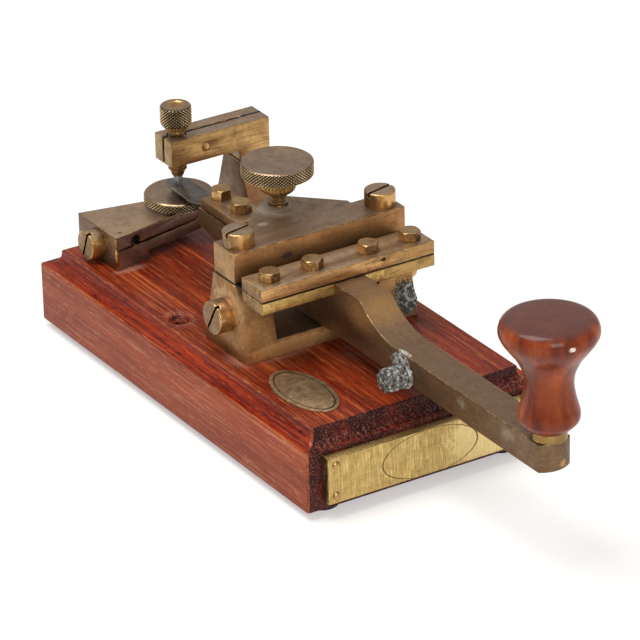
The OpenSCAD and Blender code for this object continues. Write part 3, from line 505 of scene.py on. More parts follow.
cornerLooks = {
    "brassCorner": {"skin": "#5C4228", "rubbed": "#94724A", "bare": "#D2AE78", "roughness": 0.32},
    "goldCorner": {"skin": "#765530", "rubbed": "#B48C50", "bare": "#EBCF95", "roughness": 0.26},
    "hammeredCorner": {"skin": "#4A3420", "rubbed": "#9A6C38", "bare": "#E0B878", "roughness": 0.34},
    "leverCorner": {"skin": "#54402C", "rubbed": "#78603F", "bare": "#BE9A68", "roughness": 0.34},
    "darkCorner": {"skin": "#3A281A", "rubbed": "#5C442C", "bare": "#A8865A", "roughness": 0.36},
}

thumbSpot = middle("tension_screw")
bridgeLow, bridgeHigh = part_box("bridge")
leverLow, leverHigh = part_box("lever_arm")
barLow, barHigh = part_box("upper_clamp_bar")
lugSpot = middle("lever_terminal_screw")
blockLow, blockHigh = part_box("rest_block")
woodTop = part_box("base")[1].z
standLow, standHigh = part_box("stand")
armSpot = middle("upper_contact_screw")

brassLooks["bridge"]["marks"] = [
    # pale grit round the neck of the tension screw, a small patch before it, and purple stains
    deposit((thumbSpot.x, thumbSpot.y - 0.001, bridgeHigh.z), (17, 17, 6), 0.4, "#B4A88F", 0.75, 0.3,
            ring=0.5, feather=0.12),
    deposit((thumbSpot.x - 0.002, thumbSpot.y - 0.002, bridgeHigh.z), (15, 12, 6), 0.4, "#C0B59E", 0.85, 0.3,
            inner=0.35, feather=0.13),
    deposit((thumbSpot.x - 0.0135, thumbSpot.y - 0.0115, bridgeHigh.z), (5.4, 3.8, 3), 0.45, "#A39C85", 0.7,
            0.3, feather=0.12),
    stain((thumbSpot.x + 0.017, thumbSpot.y - 0.0135, bridgeHigh.z), (8, 4, 3), 1.4, "#5B4450", 0.55),
    stain((thumbSpot.x - 0.004, thumbSpot.y - 0.017, bridgeHigh.z), (7, 3, 3), 1.4, "#5F4A4E", 0.45),
    stain((bridgeLow.x + 0.021, bridgeLow.y, bridgeHigh.z - 0.0055), (5, 3, 3.4), 0.8, "#5E4650", 0.8, 0.7),
]
brassLooks["lever"]["marks"] = [
    # white bloom round the corroded terminal, and smears along the side
    deposit((leverLow.x + 0.001, lugSpot.y + 0.002, leverLow.z + 0.0075), (3, 8.5, 6.5), 0.7,
            "#B9B8AC", 0.95, 0.75, inner=0.3),
    stain((leverLow.x, lugSpot.y - 0.033, leverLow.z + 0.0065), (1.5, 7, 4.6), 1.0, "#A79F8C", 0.5,
          0.45, feather=0.09),
    stain((leverLow.x, lugSpot.y - 0.060, leverLow.z + 0.0065), (1.5, 9, 5), 1.1, "#A09888", 0.5,
          feather=0.1),
    # painted reflection of the red base: dark red-brown on the side near the stand; and coppery wear at the
    # front end
    stain((leverLow.x, lugSpot.y + 0.034, leverLow.z + 0.0065), (2, 26, 9), 1.6, "#3E2014", 0.78,
          0.9, feather=0.14),
    stain((leverLow.x + 0.0085, leverLow.y, leverLow.z + 0.002), (4, 4, 4), 0.6, "#C99A66", 0.85,
          0.35),
    # filed flat at the bars, and golden on the sweep below it, partly a painted sheen on the curve
    stain((leverLow.x + 0.007, barLow.y - 0.004, leverHigh.z), (11, 6.5, 2.5), 2.2, "#8E7458",
          0.75, 1.0, feather=0.16),
    stain((leverLow.x + 0.007, barLow.y - 0.016, leverHigh.z - 0.005), (14, 13, 9), 1.6,
          "#A97F4C", 0.62, 1.4, inner=0.3, feather=0.2),
    # paler towards the knob
    stain((leverLow.x, leverLow.y + 0.014, leverLow.z + 0.006), (3, 26, 7), 2.0, "#8E7E6C", 0.18,
          1.1, inner=0.3, feather=0.2),
]
brassLooks["plate"]["marks"] = [
    stain((0.026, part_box("nameplate")[0].y, 0.0145), (30, 5, 18), 2.5, "#F4DE9E", 0.55, 1.3, inner=0.1),
]
brassLooks["carrier"]["marks"] = [
    # dirt and painted shade in the saw cut
    stain((armSpot.x + 0.004, armSpot.y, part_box("contact_arm")[1].z), (60, 0.95, 30), 0.8, "#140C07",
          0.95, 1.0, inner=0.8),
]
brassLooks["stand"]["marks"] = [
    # golden filed streaks low on the front, pale wear high on the left cheek, dirt at the crusted corner
    stain((standLow.x + 0.018, standLow.y, woodTop + 0.003), (26, 3, 4.4), 1.6, "#E2B070", 0.6, 1.3),
    stain((standLow.x, standLow.y + 0.010, woodTop + 0.019), (6, 14, 9), 2.2, "#C8A47A", 0.6, 1.3),
    stain((standLow.x + 0.002, standLow.y + 0.012, woodTop + 0.001), (5, 14, 6), 1.5, "#4A3222",
          0.6, 0.6),
    deposit((standHigh.x - 0.0036, standLow.y + 0.002, woodTop + 0.0068), (11, 5, 14), 0.9,
            "#423E38", 0.95, 0.85, inner=0.3),
    deposit((standHigh.x - 0.0036, standLow.y + 0.002, woodTop + 0.0068), (10, 5, 13), 0.5,
            "#C4C3BA", 0.9, 0.4),
]
darkEnd = stain((barHigh.x - 0.006, barLow.y, (barLow.z + barHigh.z) / 2 - 0.002), (30, 3, 14),
                2.5, "#7E5C34", 0.5, 1.4, inner=0.1)
brassLooks["lowBar"]["marks"] = [darkEnd]
brassLooks["bars"]["marks"] = [
    darkEnd,
    stain((barLow.x + 0.0485, barLow.y, barHigh.z - 0.0014), (2.6, 1.5, 1.6), 1.2, "#2E1E10",
          0.95, 0.8),
]
brassLooks["block"]["marks"] = [
    # dirt and painted shade in the saw cut, and a front face darkening towards the contact, partly painted
    # shade
    stain((blockLow.x + 0.022, blockLow.y, woodTop + 0.0077), (26, 10, 0.75), 0.8, "#140C07", 0.9,
          1.0, inner=0.8),
    stain((blockHigh.x, blockLow.y, woodTop + 0.006), (24, 3, 16), 1.4, "#0C0604", 0.95, 1.3,
          inner=0.2, feather=0.12),
    stain((blockLow.x + 0.004, blockLow.y + 0.004, blockHigh.z), (1.6, 1.0, 1.5), 0.8, "#2C1C12",
          0.9, 0.8),
]


def knurledBrass(name, node, depth, wide):
    spot = middle(node)
    look = {"top": "#957C66", "side": "#94703F", "dark": "#50361E", "bright": "#E2C080", "pit": "#33210F",
            "valleyDirtShade": "#241508", "crest": "#F4DCA8", "lines": "y", "metallic": 0.9, "roughness": 0.32,
            "cloud": 0.4, "scratch": 0.15, "pits": 0.25, "spark": 0.15, "relief": 0.15,
            "knurl": (spot.x, spot.y, wide, depth)}
    return agedBrass(name, look)


brass = {key: agedBrass("brass" + key.capitalize() + "Aged", look) for key, look in brassLooks.items()}
corner = {key: wornCorner(key, look) for key, look in cornerLooks.items()}
print("brass finishes made")


# Spring steel, blued by heat and worn bright along its edge
def bluedSteel(name, look):
    material, tree, shader, coordinate = newMaterial(name)
    cloud = noise(tree, coordinate, 5, 5, Roughness=0.6)
    tone = tones(tree, cloud, (0.3, look["deep"]), (0.55, look["blue"]), (0.8, look["pale"]))
    feed(tree, tone, shader, "Base Color")
    feed(tree, ramp(tree, cloud, 0.3, 0.7, 0.28, 0.42), shader, "Roughness")
    shader.inputs["Metallic"].default_value = 0.9
    return material


steelLook = {"deep": "#4C443E", "blue": "#766C62", "pale": "#A89B8A"}
blued = bluedSteel("springSteelBlued", steelLook)
bluedCorner = wornCorner("springSteelWorn", {"skin": "#4A4A4E", "rubbed": "#8A8C90", "bare": "#C9CCD0",
                                             "roughness": 0.25})
sheetLook = {"deep": "#1A1511", "blue": "#30271F", "pale": "#5A4B3A"}
darkSheet = bluedSteel("springSteelOiled", sheetLook)
plainSteel = bluedSteel("screwSteelPlain", {"deep": "#6A6A68", "blue": "#86857F", "pale": "#A6A49C"})
silver = bluedSteel("contactSilver", {"deep": "#6E6F6E", "blue": "#9A9B99", "pale": "#C6C7C4"})


# Corroded screw and lug: dark metal under a white and grey-green crust, rough all over
def crustMaterial(name, look):
    material, tree, shader, coordinate = newMaterial(name)
    grains = noise(tree, coordinate, 1.6, 8, Roughness=0.8)
    tone = tones(tree, grains, (0.38, look["dark"]), (0.48, look["metal"]), (0.55, look["grey"]),
                 (0.62, look["white"]))
    colour = layMarks(tree, coordinate, tone, look["marks"])[0]
    feed(tree, colour, shader, "Base Color")
    feed(tree, ramp(tree, grains, 0.42, 0.6, 0.45, 0.9), shader, "Roughness")
    feed(tree, ramp(tree, grains, 0.42, 0.52, 0.8, 0.0), shader, "Metallic")
    addBump(tree, shader, grains, 0.8, 0.2)
    return material


crustLook = {"dark": "#24211E", "metal": "#4A4640", "grey": "#74736A", "white": "#CFD0C8",
             "voxel": 0.26, "swell": 0.6, "lump": 1.3, "marks": []}
bloomLook = {"dark": "#453E3A", "metal": "#706B66", "grey": "#98948F", "white": "#CDCAC4", "marks": []}
crust = crustMaterial("corrodedMetalCrusted", crustLook)
bloom = crustMaterial("corrodedMetalBloom", bloomLook)


# Mahogany, planed and varnished. Grain runs along Y: bands 7 mm wide, streaks 1.2 mm wide and 60 mm long,
# fine lines 0.5 mm wide and 40 mm long, and pale flecks and dark pores 0.45 mm wide and 5 mm long
def mahogany(name, look):
    material, tree, shader, coordinate = newMaterial(name)

    def grain(wide, long, detail):
        scale = (1000 / wide, 1000 / long, 1000 / wide)
        return stretchedNoise(tree, coordinate, scale, detail, Roughness=0.6)

    band, streak, fine = grain(7, 90, 4), grain(1.2, 60, 4), grain(0.5, 40, 3)
    fleck, pore = grain(0.45, 5, 4), grain(0.45, 5, 3)
    colour = tones(tree, band, (0.36, look["deep"]), (0.5, look["middle"]), (0.64, look["light"]))
    colour = layTints(
        tree, colour, look, (streak, 0.56, 0.66, look["streaks"] * 0.7, "streak"),
        (streak, 0.48, 0.38, look["grain"], "deep"), (fine, 0.57, 0.68, look["streaks"], "streak"),
        (fine, 0.47, 0.37, look["grain"], "deep"), (fleck, 0.42, 0.36, look["flecks"], "streak"))
    depth = ramp(tree, pore, 0.58, 0.65, 0.0, look["pores"])
    colour = mixOver(tree, colour, depth, look["pore"])
    colour = layMarks(tree, coordinate, colour, look["marks"])[0]
    feed(tree, colour, shader, "Base Color")
    feed(tree, ramp(tree, fine, 0.35, 0.65, look["roughness"], look["roughness"] + 0.15), shader, "Roughness")
    shader.inputs["Specular IOR Level"].default_value = look["specular"]
    shader.inputs["Coat Weight"].default_value = look["varnish"]
    shader.inputs["Coat Roughness"].default_value = look["varnishRoughness"]
    addBump(tree, shader, maths(tree, "SUBTRACT", fine, depth), look["relief"], 0.08)
    return material


woodLooks = {
    "top": {"deep": "#581404", "middle": "#76240A", "light": "#90360F", "streak": "#BE6A3A",
        "streaks": 0.6, "grain": 0.85, "pore": "#2E0C05", "pores": 0.6, "flecks": 0.3, "roughness": 0.4,
        "specular": 0.16, "varnish": 0.09, "varnishRoughness": 0.12, "relief": 0.4},
    "cove": {"deep": "#5A1204", "middle": "#7C2008", "light": "#96300C", "streak": "#B85A30",
        "streaks": 0.35, "grain": 0.9, "pore": "#200603", "pores": 1.0, "flecks": 0.3, "roughness": 0.3,
        "specular": 0.12, "varnish": 0.07, "varnishRoughness": 0.1, "relief": 0.5},
    # the sides' paler, pinker tones are partly a painted sheen of light falling on them
    "side": {"deep": "#7A3826", "middle": "#8C432B", "light": "#9A4C31", "streak": "#C48E70",
        "streaks": 0.35, "grain": 0.35, "pore": "#5E2A18", "pores": 0.4, "flecks": 0.35,
        "roughness": 0.55, "specular": 0.18, "varnish": 0.03, "varnishRoughness": 0.35, "relief": 0.3},
    "end": {"deep": "#1C0605", "middle": "#38100C", "light": "#54180F", "streak": "#A8705F",
        "streaks": 0.3, "grain": 0.6, "pore": "#0C0303", "pores": 0.9, "flecks": 0.55, "roughness": 0.34,
        "specular": 0.11, "varnish": 0.06, "varnishRoughness": 0.14, "relief": 0.8},
    "arris": {"deep": "#6A220E", "middle": "#863616", "light": "#A25428", "streak": "#CC8C60",
        "streaks": 0.4, "grain": 0.7, "pore": "#3E150A", "pores": 0.8, "flecks": 0.4, "roughness": 0.4,
        "specular": 0.2, "varnish": 0.08, "varnishRoughness": 0.2, "relief": 0.4},
}
for look in woodLooks.values():
    look["marks"] = []
holeSpot = (-0.035, 0.05645, woodTop)
woodLooks["top"]["marks"] = [
    # pale dust along the feet of block and stand, and worn varnish round the countersunk hole
    deposit((blockLow.x + 0.005, blockLow.y - 0.0005, woodTop), (17, 6, 3), 0.35, "#BE9080", 0.65,
            0.25, feather=0.12),
    deposit((standLow.x, standLow.y + 0.006, woodTop), (10, 20, 3), 0.35, "#B88A7A", 0.6, 0.2,
            feather=0.12),
    deposit((standLow.x + 0.016, standLow.y, woodTop), (28, 7, 3), 0.35, "#B88A7A", 0.6, 0.2,
            feather=0.12),
    deposit(holeSpot, (12, 15, 4), 0.8, "#B07866", 0.45, 0.75, inner=0.1),
    deposit(holeSpot, (5, 5, 5), 0.8, "#8E6850", 0.7, 0.9, inner=0.4),
    # a paler pink patch on the right of the top: a painted sheen
    stain((0.034, 0.030, woodTop), (16, 36, 4), 3.0, "#A66A58", 0.4, 0.7, inner=0.1),
]
wood = {key: mahogany("mahogany" + key.capitalize(), look) for key, look in woodLooks.items()}
print("wood finishes made")

baseLook = {"arris": 0.7, "cove": 6.5, "inset": 6.0, "cornerInset": 7.5}


def dressBase():
    low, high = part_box("base")
    piece = finishCorners("base", "baseBoard", baseLook["arris"],
                          [wood[k] for k in ("top", "cove", "side", "end", "arris")], segments=3)
    cove, inset, cornerInset = (baseLook[k] * mm for k in ("cove", "inset", "cornerInset"))
    for face in piece.data.polygons:
        where, way = face.center, face.normal
        toEnd = min(where.y - low.y, high.y - where.y)
        onShelf = way.z > 0.5 and toEnd < inset and abs(where.x) < high.x - inset
        if face.material_index == 4:        # a broken corner: at the ends it is as dark as the end grain
            if toEnd < cornerInset and abs(where.x) < high.x - cornerInset:
                face.material_index = 3
        elif way.z > 0.9 and where.z > high.z - 0.2 * mm:
            face.material_index = 0
        elif (abs(way.y) > 0.55 and abs(way.x) < 0.3) or onShelf:
            face.material_index = 3
        elif where.z > high.z - cove:
            face.material_index = 1
        else:
            face.material_index = 2


dressBase()

rubberLook = {"colour": "#1C1C1C", "worn": "#3A3A38"}
rubber, tree, shader, coordinate = newMaterial("rubberMoulded")
grey = tones(tree, noise(tree, coordinate, 1.5, 4), (0.4, rubberLook["colour"]), (0.75, rubberLook["worn"]))
feed(tree, grey, shader, "Base Color")
shader.inputs["Roughness"].default_value = 0.75

finishCorners("rubber_feet", "rubberFeet", 0.3, [rubber, rubber])
print("base done")


# The line is a band of an ellipse: |(x/a, z/b)| near 1, drawn dark as an engraved or printed line
def ovalLine(tree, coordinate, centre, half, width, flat):
    size = (half[0] * mm, half[1] * mm, 1.0) if flat else (half[0] * mm, 1.0, half[1] * mm)
    shaped = vectorMaths(tree, "DIVIDE", vectorMaths(tree, "SUBTRACT", coordinate, tuple(centre)), size)
    length = vectorMaths(tree, "LENGTH", shaped, out="Value")
    off = maths(tree, "ABSOLUTE", maths(tree, "SUBTRACT", length, 1.0))
    share = width / (half[0] + half[1])
    return ramp(tree, off, share * 0.7, share * 1.4, 1.0, 0.0)


plateLook = {"lineHalf": (19.0, 8.6), "lineWidth": 0.38, "lineShift": (-0.5, -0.3), "line": "#6A4F26"}
badgeLook = {"field": "#B09472", "fieldDark": "#7E6244", "line": "#1A1410", "lineIn": 1.7, "lineWidth": 0.5,
             "rim": "#C4B392"}


def dressPlate():
    low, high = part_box("nameplate")
    tree = brass["plate"].node_tree
    shader = next(n for n in tree.nodes if n.type == "BSDF_PRINCIPLED")
    mid = Vector(((low.x + high.x) / 2 + plateLook["lineShift"][0] * mm, low.y,
                  (low.z + high.z) / 2 + plateLook["lineShift"][1] * mm))
    line = ovalLine(tree, (addNode(tree, "ShaderNodeTexCoord"), "Object"), mid, plateLook["lineHalf"],
                    plateLook["lineWidth"], False)
    under = (shader.inputs["Base Color"].links[0].from_node, 2)        # the mix that lays the last mark
    feed(tree, mixOver(tree, under, line, plateLook["line"]), shader, "Base Color")
    finishCorners("nameplate", "frontPlate", 0.18, [brass["plate"], corner["goldCorner"]])
    finishCorners("nameplate_pins", "platePins", 0.05, [brass["turned"], brass["turned"]], angle=60)


def dressBadge():
    low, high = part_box("badge")
    half = ((high.x - low.x) / 2 / mm, (high.y - low.y) / 2 / mm)
    material, tree, shader, coordinate = newMaterial("badgeBrassPrinted")
    tone = tones(tree, noise(tree, coordinate, 2.2, 6, Roughness=0.7), (0.35, badgeLook["fieldDark"]),
                 (0.6, badgeLook["field"]), (0.78, badgeLook["rim"]))
    inner = [h - badgeLook["lineIn"] for h in half]
    line = ovalLine(tree, coordinate, (low + high) / 2, inner, badgeLook["lineWidth"], True)
    feed(tree, mixOver(tree, tone, line, badgeLook["line"]), shader, "Base Color")
    shader.inputs["Metallic"].default_value = 0.7
    shader.inputs["Roughness"].default_value = 0.38
    finishCorners("badge", "ovalBadge", 0.1, [material, corner["goldCorner"]])


dressPlate()
dressBadge()
print("plates done")

# For each node: the piece's name, its corner's width in mm, its finish and its corner's finish
barLook = {
    "stand": ("standFrame", 0.22, "stand", "brassCorner"),
    "bridge": ("bridgePlate", 0.25, "bridge", "brassCorner"),
    "upper_clamp_bar": ("clampBarUpper", 0.18, "bars", "goldCorner"),
    "lower_clamp_bar": ("clampBarLower", 0.18, "lowBar", "goldCorner"),
    "lever_arm": ("leverArm", 0.18, "lever", "leverCorner"),
    "tongue_plate": ("tonguePlate", 0.15, "bars", "brassCorner"),
    "rest_block": ("restBlock", 0.13, "block", "hammeredCorner"),
    "contact_post": ("contactPost", 0.25, "post", "brassCorner"),
    "contact_arm": ("contactArm", 0.14, "carrier", "brassCorner"),
    "bridge_screws": ("bridgeScrews", 0.12, "turned", "goldCorner"),
    "stand_terminal_screws": ("standTerminals", 0.12, "turned", "goldCorner"),
    "rest_terminal_screw": ("restTerminal", 0.12, "turned", "goldCorner"),
    "pinch_screw": ("pinchScrew", 0.06, "turned", "goldCorner"),
    "clamp_bolts": ("clampBolts", 0.1, "hexagon", "darkCorner"),
    "tongue_bolts": ("tongueBolts", 0.1, "hexagon", "darkCorner"),
}
made = {}
for node, (name, width, finish, edge) in barLook.items():
    made[node] = finishCorners(
        node, name, width, [brass[finish], corner[edge]], angle=52 if node == "lever_arm" else 40,
        smooth={"hexagon": 15, "lever": 14}.get(finish, 35),
        rounded=(blockLow.x, blockLow.y, 0.9) if node == "rest_block" else None)
for node, ways in (("bridge_screws", "up"), ("stand_terminal_screws", "left right"),
                   ("rest_terminal_screw", "left")):
    low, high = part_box(node)
    r = (high.y - low.y) / 2
    y, z = (low.y + high.y) / 2, (low.z + high.z) / 2
    heads = {"up": [((x, y, high.z), (0, 0, 1), r) for x in (low.x + r, high.x - r)],
             "left": [((low.x, y, z), (-1, 0, 0), r)], "right": [((high.x, y, z), (1, 0, 0), r)]}
    dirtyShadedSlots(made[node], [head for way in ways.split() for head in heads[way]])
finishCorners("contact_tongue", "contactTongue", 0.12, [blued, bluedCorner])
finishCorners("flexure_sheet", "flexureSheet", 0.06, [darkSheet, darkSheet])
for node in ("stand_screws", "rest_block_screws", "post_bolt", "lever_bar_screw", "spring_pusher"):
    setMaterials(frame["nodes"][node], brass["turned"])
setMaterials(frame["nodes"]["knob_screw"], plainSteel)
for node in ("rest_contact_tip", "upper_contact_tip"):
    setMaterials(frame["nodes"][node], silver)
print("bars and screws done")


def roughen(piece, swelling):
    grain = piece.modifiers.new("grain", "REMESH")
    grain.mode = "VOXEL"
    grain.voxel_size = crustLook["voxel"] * mm
    lumps = bpy.data.textures.new("crustLumps", "CLOUDS")
    lumps.noise_scale = crustLook["lump"] * mm
    lumps.noise_depth = 3
    swell = piece.modifiers.new("swell", "DISPLACE")
    swell.texture = lumps
    swell.texture_coords = "LOCAL"
    swell.mid_level = 0.45
    swell.strength = swelling * mm
    applyModifiers(piece)
    for face in piece.data.polygons:
        face.material_index = 0


def crustPiece(node, name, material):
    piece = copyPiece(node)
    toObject()
    roughen(piece, crustLook["swell"])
    setMaterials(piece, material)
    bpy.ops.object.shade_smooth()
    return settle(piece, name, bodyOf[node], slotOf[node], node)


cheekCrustLook = {"in": 3.2, "up": 6.8, "half": (3.6, 0.75, 5.4), "slope": 0.2437, "swell": 1.5}


# Crust on the sloping front of the right cheek: a flat blob that the same grain and lumps make ragged
def buildCheekCrust():
    slope, up = cheekCrustLook["slope"], cheekCrustLook["up"] * mm
    place = (standHigh.x - cheekCrustLook["in"] * mm, standLow.y + slope * up, woodTop + up)
    bpy.ops.object.select_all(action="DESELECT")
    bpy.ops.mesh.primitive_ico_sphere_add(subdivisions=4, radius=mm, location=place)
    piece = bpy.context.object
    toEdit()
    bpy.ops.mesh.select_all(action="SELECT")
    bpy.ops.transform.resize(value=cheekCrustLook["half"], center_override=place)
    bpy.ops.transform.rotate(value=math.atan2(slope, 1.0), orient_axis="X", center_override=place)
    toObject()
    roughen(piece, cheekCrustLook["swell"])
    spot = (standHigh.x - 0.0018, place[1], woodTop + 0.0087)
    marks = [deposit(spot, (4.4, 5, 4.4), 0.7, "#A9AEA2", 0.8, 0.6, ring=0.6),
             deposit(spot, (2.2, 4, 2.2), 0.7, "#2B342C", 0.8, 0.8)]
    setMaterials(piece, crustMaterial("verdigrisCrust", {**crustLook, "marks": marks}))
    bpy.ops.object.shade_smooth()
    settle(piece, "cheekCrust", "base_unit", "corroded_metal")


buildCheekCrust()
crustPiece("lever_terminal_screw", "leverTerminal", crust)
crustPiece("lever_terminal_lug", "leverTerminalLug", bloom)
print("terminals done")


# Turned hardwood, stained and lacquered: long vertical streaks round the knob, a greyer worn top
def knobWood(name, look):
    material, tree, shader, coordinate = newMaterial(name)
    grain = stretchedNoise(tree, coordinate, (1000 / 6, 1000 / 6, 1000 / 45), 5, Roughness=0.6,
                           Distortion=0.3)
    colour = tones(tree, grain, (0.33, look["deep"]), (0.5, look["middle"]), (0.68, look["light"]))
    fine = stretchedNoise(tree, coordinate, (1000 / 0.5, 1000 / 0.5, 1000 / 8), 3)
    colour = layTints(tree, colour, look, (fine, 0.58, 0.72, 0.3, "pore"),
                      ((facing(tree), 2), 0.55, 0.95, look["topShare"], "top"))
    colour = layMarks(tree, coordinate, colour, look["marks"])[0]
    feed(tree, colour, shader, "Base Color")
    shader.inputs["Roughness"].default_value = look["roughness"]
    shader.inputs["Specular IOR Level"].default_value = look["specular"]
    shader.inputs["Coat Weight"].default_value = look["lacquer"]
    shader.inputs["Coat Roughness"].default_value = look["lacquerRoughness"]
    addBump(tree, shader, noise(tree, coordinate, 4, 2), 0.45, 0.25)
    return material


knobLook = {"deep": "#4A1403", "middle": "#702909", "light": "#924215", "pore": "#3A140A", "top": "#4E302A",
            "topShare": 0.85, "roughness": 0.4, "lacquer": 0.3, "lacquerRoughness": 0.12, "specular": 0.12,
            "sides": 128,
            "outline": [
                (7.1, 0.0), (8.3, 0.030), (9.9, 0.080), (10.2, 0.140), (9.5, 0.210), (8.6, 0.300),
                (8.1, 0.390), (8.4, 0.480), (9.5, 0.560), (11.2, 0.640), (13.6, 0.720), (15.55, 0.790),
                (16.5, 0.850), (16.15, 0.912), (14.9, 0.958), (12.8, 0.982), (9.5, 0.994), (5.0, 1.0)]}


# A smooth curve through all the points: a cubic through each pair, with their neighbours' slopes
def smoothOutline(points, steps):
    curve = []
    for i in range(len(points) - 1):
        p, q, r, s = (points[max(0, min(len(points) - 1, i + k))] for k in (-1, 0, 1, 2))
        for k in range(steps):
            t = k / steps
            curve.append(tuple(
                0.5 * (2 * q[n] + (r[n] - p[n]) * t + (2 * p[n] - 5 * q[n] + 4 * r[n] - s[n]) * t ** 2
                       + (3 * q[n] - p[n] - 3 * r[n] + s[n]) * t ** 3) for n in (0, 1)))
    return curve + [points[-1]]


def buildKnob():
    low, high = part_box("knob")
    centre, _, top, foot = turnedBox("knob")
    knobLook["marks"] = [
        # a small whitish spot below the rim: a painted highlight
        stain((centre[0] - 0.0022, centre[1] - 0.0158, high.z - 0.0052), (2.3, 2.3, 1.5), 0.7, "#DCCDB8",
              0.95, 0.8, inner=0.3),
        # painted light: a brighter amber patch at the waist; and a darker skin round the shoulder
        stain((centre[0] - 0.002, centre[1] - 0.007, low.z + 0.017), (10, 10, 16), 4, "#984917", 0.5, 1.0,
              inner=0.1, feather=0.3),
        stain((centre[0], centre[1], high.z - 0.0035), (19, 19, 6), 2.2, "#54281C", 0.55, 1.1, inner=0.2,
              feather=0.2),
    ]
    widest = max(r for r, z in knobLook["outline"])
    outline = [(min(r, widest), foot + min(z, 1.0) * (top - foot))
               for r, z in smoothOutline(knobLook["outline"], 4)]
    piece = turnPiece(centre, outline, knobLook["sides"])
    setMaterials(piece, knobWood("knobWoodLacquered", knobLook))
    smoothBy(piece, 40)
    settle(piece, "knob_turned", "lever", "knob_wood", "knob")


def buildFerrule():
    centre, r, top, foot = turnedBox("knob_ferrule")
    piece = turnPiece(centre, [(r - 0.5, foot), (r - 0.15, foot + 0.1), (r, foot + 0.35), (r, top - 0.5),
                               (r - 0.2, top - 0.2), (r - 0.2, top)], 96)
    setMaterials(piece, brass["ferrule"])
    smoothBy(piece, 30)
    settle(piece, "knobFerrule", "lever", "polished_brass", "knob_ferrule")


buildKnob()
buildFerrule()
print("knob done")

thumbLook = {"diamonds": 60, "rowsOfDiamonds": 4, "depth": 0.45, "fluteDepth": 0.22,
             "threadPitch": 1.25, "threadDepth": 0.45, "head": 5.1, "collar": 6.7}
headLook = {"diamonds": 26, "rowsOfDiamonds": 7, "depth": 0.6, "threadPitch": 1.2, "threadDepth": 0.5,
            "head": 9.0, "armHeight": 10.0}
discLook = {"diamonds": 54, "rowsOfDiamonds": 2, "depth": 0.55, "threadPitch": 1.1, "threadDepth": 0.4,
            "disc": 3.2}


def finishTurned(piece, name, body, node, material, dish=None):
    if dish:       # the faces of the dish, nearer the middle than this radius, are the second material
        setMaterials(piece, material, dish[1])
        centre = middle(node)
        for face in piece.data.polygons:
            away = math.hypot(face.center.x - centre.x, face.center.y - centre.y)
            if away < dish[0] * mm and face.center.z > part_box(node)[1].z - 0.8 * mm:
                face.material_index = 1
    else:
        setMaterials(piece, material)
    smoothBy(piece, 18)
    return settle(piece, name, body, "aged_brass", node)


def buildTensionScrew():
    centre, r, top, foot = turnedBox("tension_screw")
    headLow = top - thumbLook["head"]
    collarLow = headLow - thumbLook["collar"]
    bridgeFace = bridgeHigh.z / mm
    knurlLow, knurlHigh = headLow + 0.3, top - 0.45
    sides = thumbLook["diamonds"] * 2
    knurlRows = rows(knurlLow, knurlHigh, thumbLook["rowsOfDiamonds"] * 2)
    outline = [(2.9, foot), (3.3, foot + 0.4)]
    thread = thumbLook["threadPitch"], thumbLook["threadDepth"]
    outline += threadOutline(foot + 0.5, bridgeFace - 0.3, thread[0], 3.3, thread[1])
    outline += threadOutline(bridgeFace, collarLow - 0.9, thread[0], 3.2, thread[1])
    outline += [(2.9, collarLow - 0.8), (3.1, collarLow - 0.5), (2.6, collarLow - 0.2), (4.2, collarLow),
                (5.3, collarLow + 0.5), (6.1, collarLow + 1.3), (6.4, collarLow + 2.1),
                (6.5, collarLow + 2.5), (6.5, collarLow + 4.6), (6.4, headLow - 0.5), (6.4, headLow - 0.02),
                (r - 0.9, headLow), (r - 0.55, headLow + 0.15)]
    outline += [(r, z) for z in knurlRows]
    outline += [(r - 0.5, top - 0.2), (r - 0.65, top - 0.06), (r - 1.0, top), (r - 1.4, top - 0.04),
                (r - 2.4, top - 0.22), (r - 4.4, top - 0.46), (r - 7.2, top - 0.6), (2.0, top - 0.66)]
    piece = turnPiece(centre, outline, sides)
    pressPoints(piece, centre, knurlRows[0], knurlRows[-1], sides, thumbLook["depth"], r, knurlRows)
    pressPoints(piece, centre, collarLow + 2.5, collarLow + 4.6, sides // 2, thumbLook["fluteDepth"], 6.5)
    finish = knurledBrass("brassThumbKnurled", "tension_screw", thumbLook["depth"], r)
    finishTurned(piece, "tensionScrew", "tension_screw_unit", "tension_screw", finish)


def buildContactScrew():
    centre, r, top, foot = turnedBox("upper_contact_screw")
    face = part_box("contact_arm")[1].z / mm
    under = face - headLook["armHeight"]
    headLow = top - headLook["head"]
    knurlLow, knurlHigh = headLow + 0.9, top - 0.5
    sides = headLook["diamonds"] * 2
    knurlRows = rows(knurlLow, knurlHigh, headLook["rowsOfDiamonds"] * 2)
    outline = [(2.0, foot), (2.2, foot + 0.3), (2.5, foot + 1.3), (2.8, foot + 1.9)]
    outline += threadOutline(foot + 2.1, under, headLook["threadPitch"], 3.4, headLook["threadDepth"])
    outline += threadOutline(under + 0.1, face - 0.4, headLook["threadPitch"], 3.35, 0.3)
    outline += [(2.7, face - 0.3), (2.7, face + 0.4), (3.0, face + 0.7), (2.7, face + 1.0), (3.0, face + 1.3),
                (2.7, headLow - 0.05), (r - 1.9, headLow), (r - 1.5, headLow + 0.5)]
    outline += [(r - 1.2 * max(0.0, 1 - (z - knurlLow) / 1.8) ** 2, z) for z in knurlRows]
    outline += [(r - 0.45, top - 0.22), (r - 0.6, top), (r - 1.7, top), (r - 1.95, top - 0.08),
                (r - 2.4, top - 0.42), (r - 3.0, top - 0.58), (1.2, top - 0.6)]
    piece = turnPiece(centre, outline, sides)
    pressPoints(piece, centre, knurlRows[0], knurlRows[-1], sides, headLook["depth"], r, knurlRows, 1.4)
    finish = knurledBrass("brassHeadKnurled", "upper_contact_screw", headLook["depth"], r)
    finishTurned(piece, "upperContactScrew", "upper_screw_unit", "upper_contact_screw", finish,
                 (4.3, brass["hexagon"]))


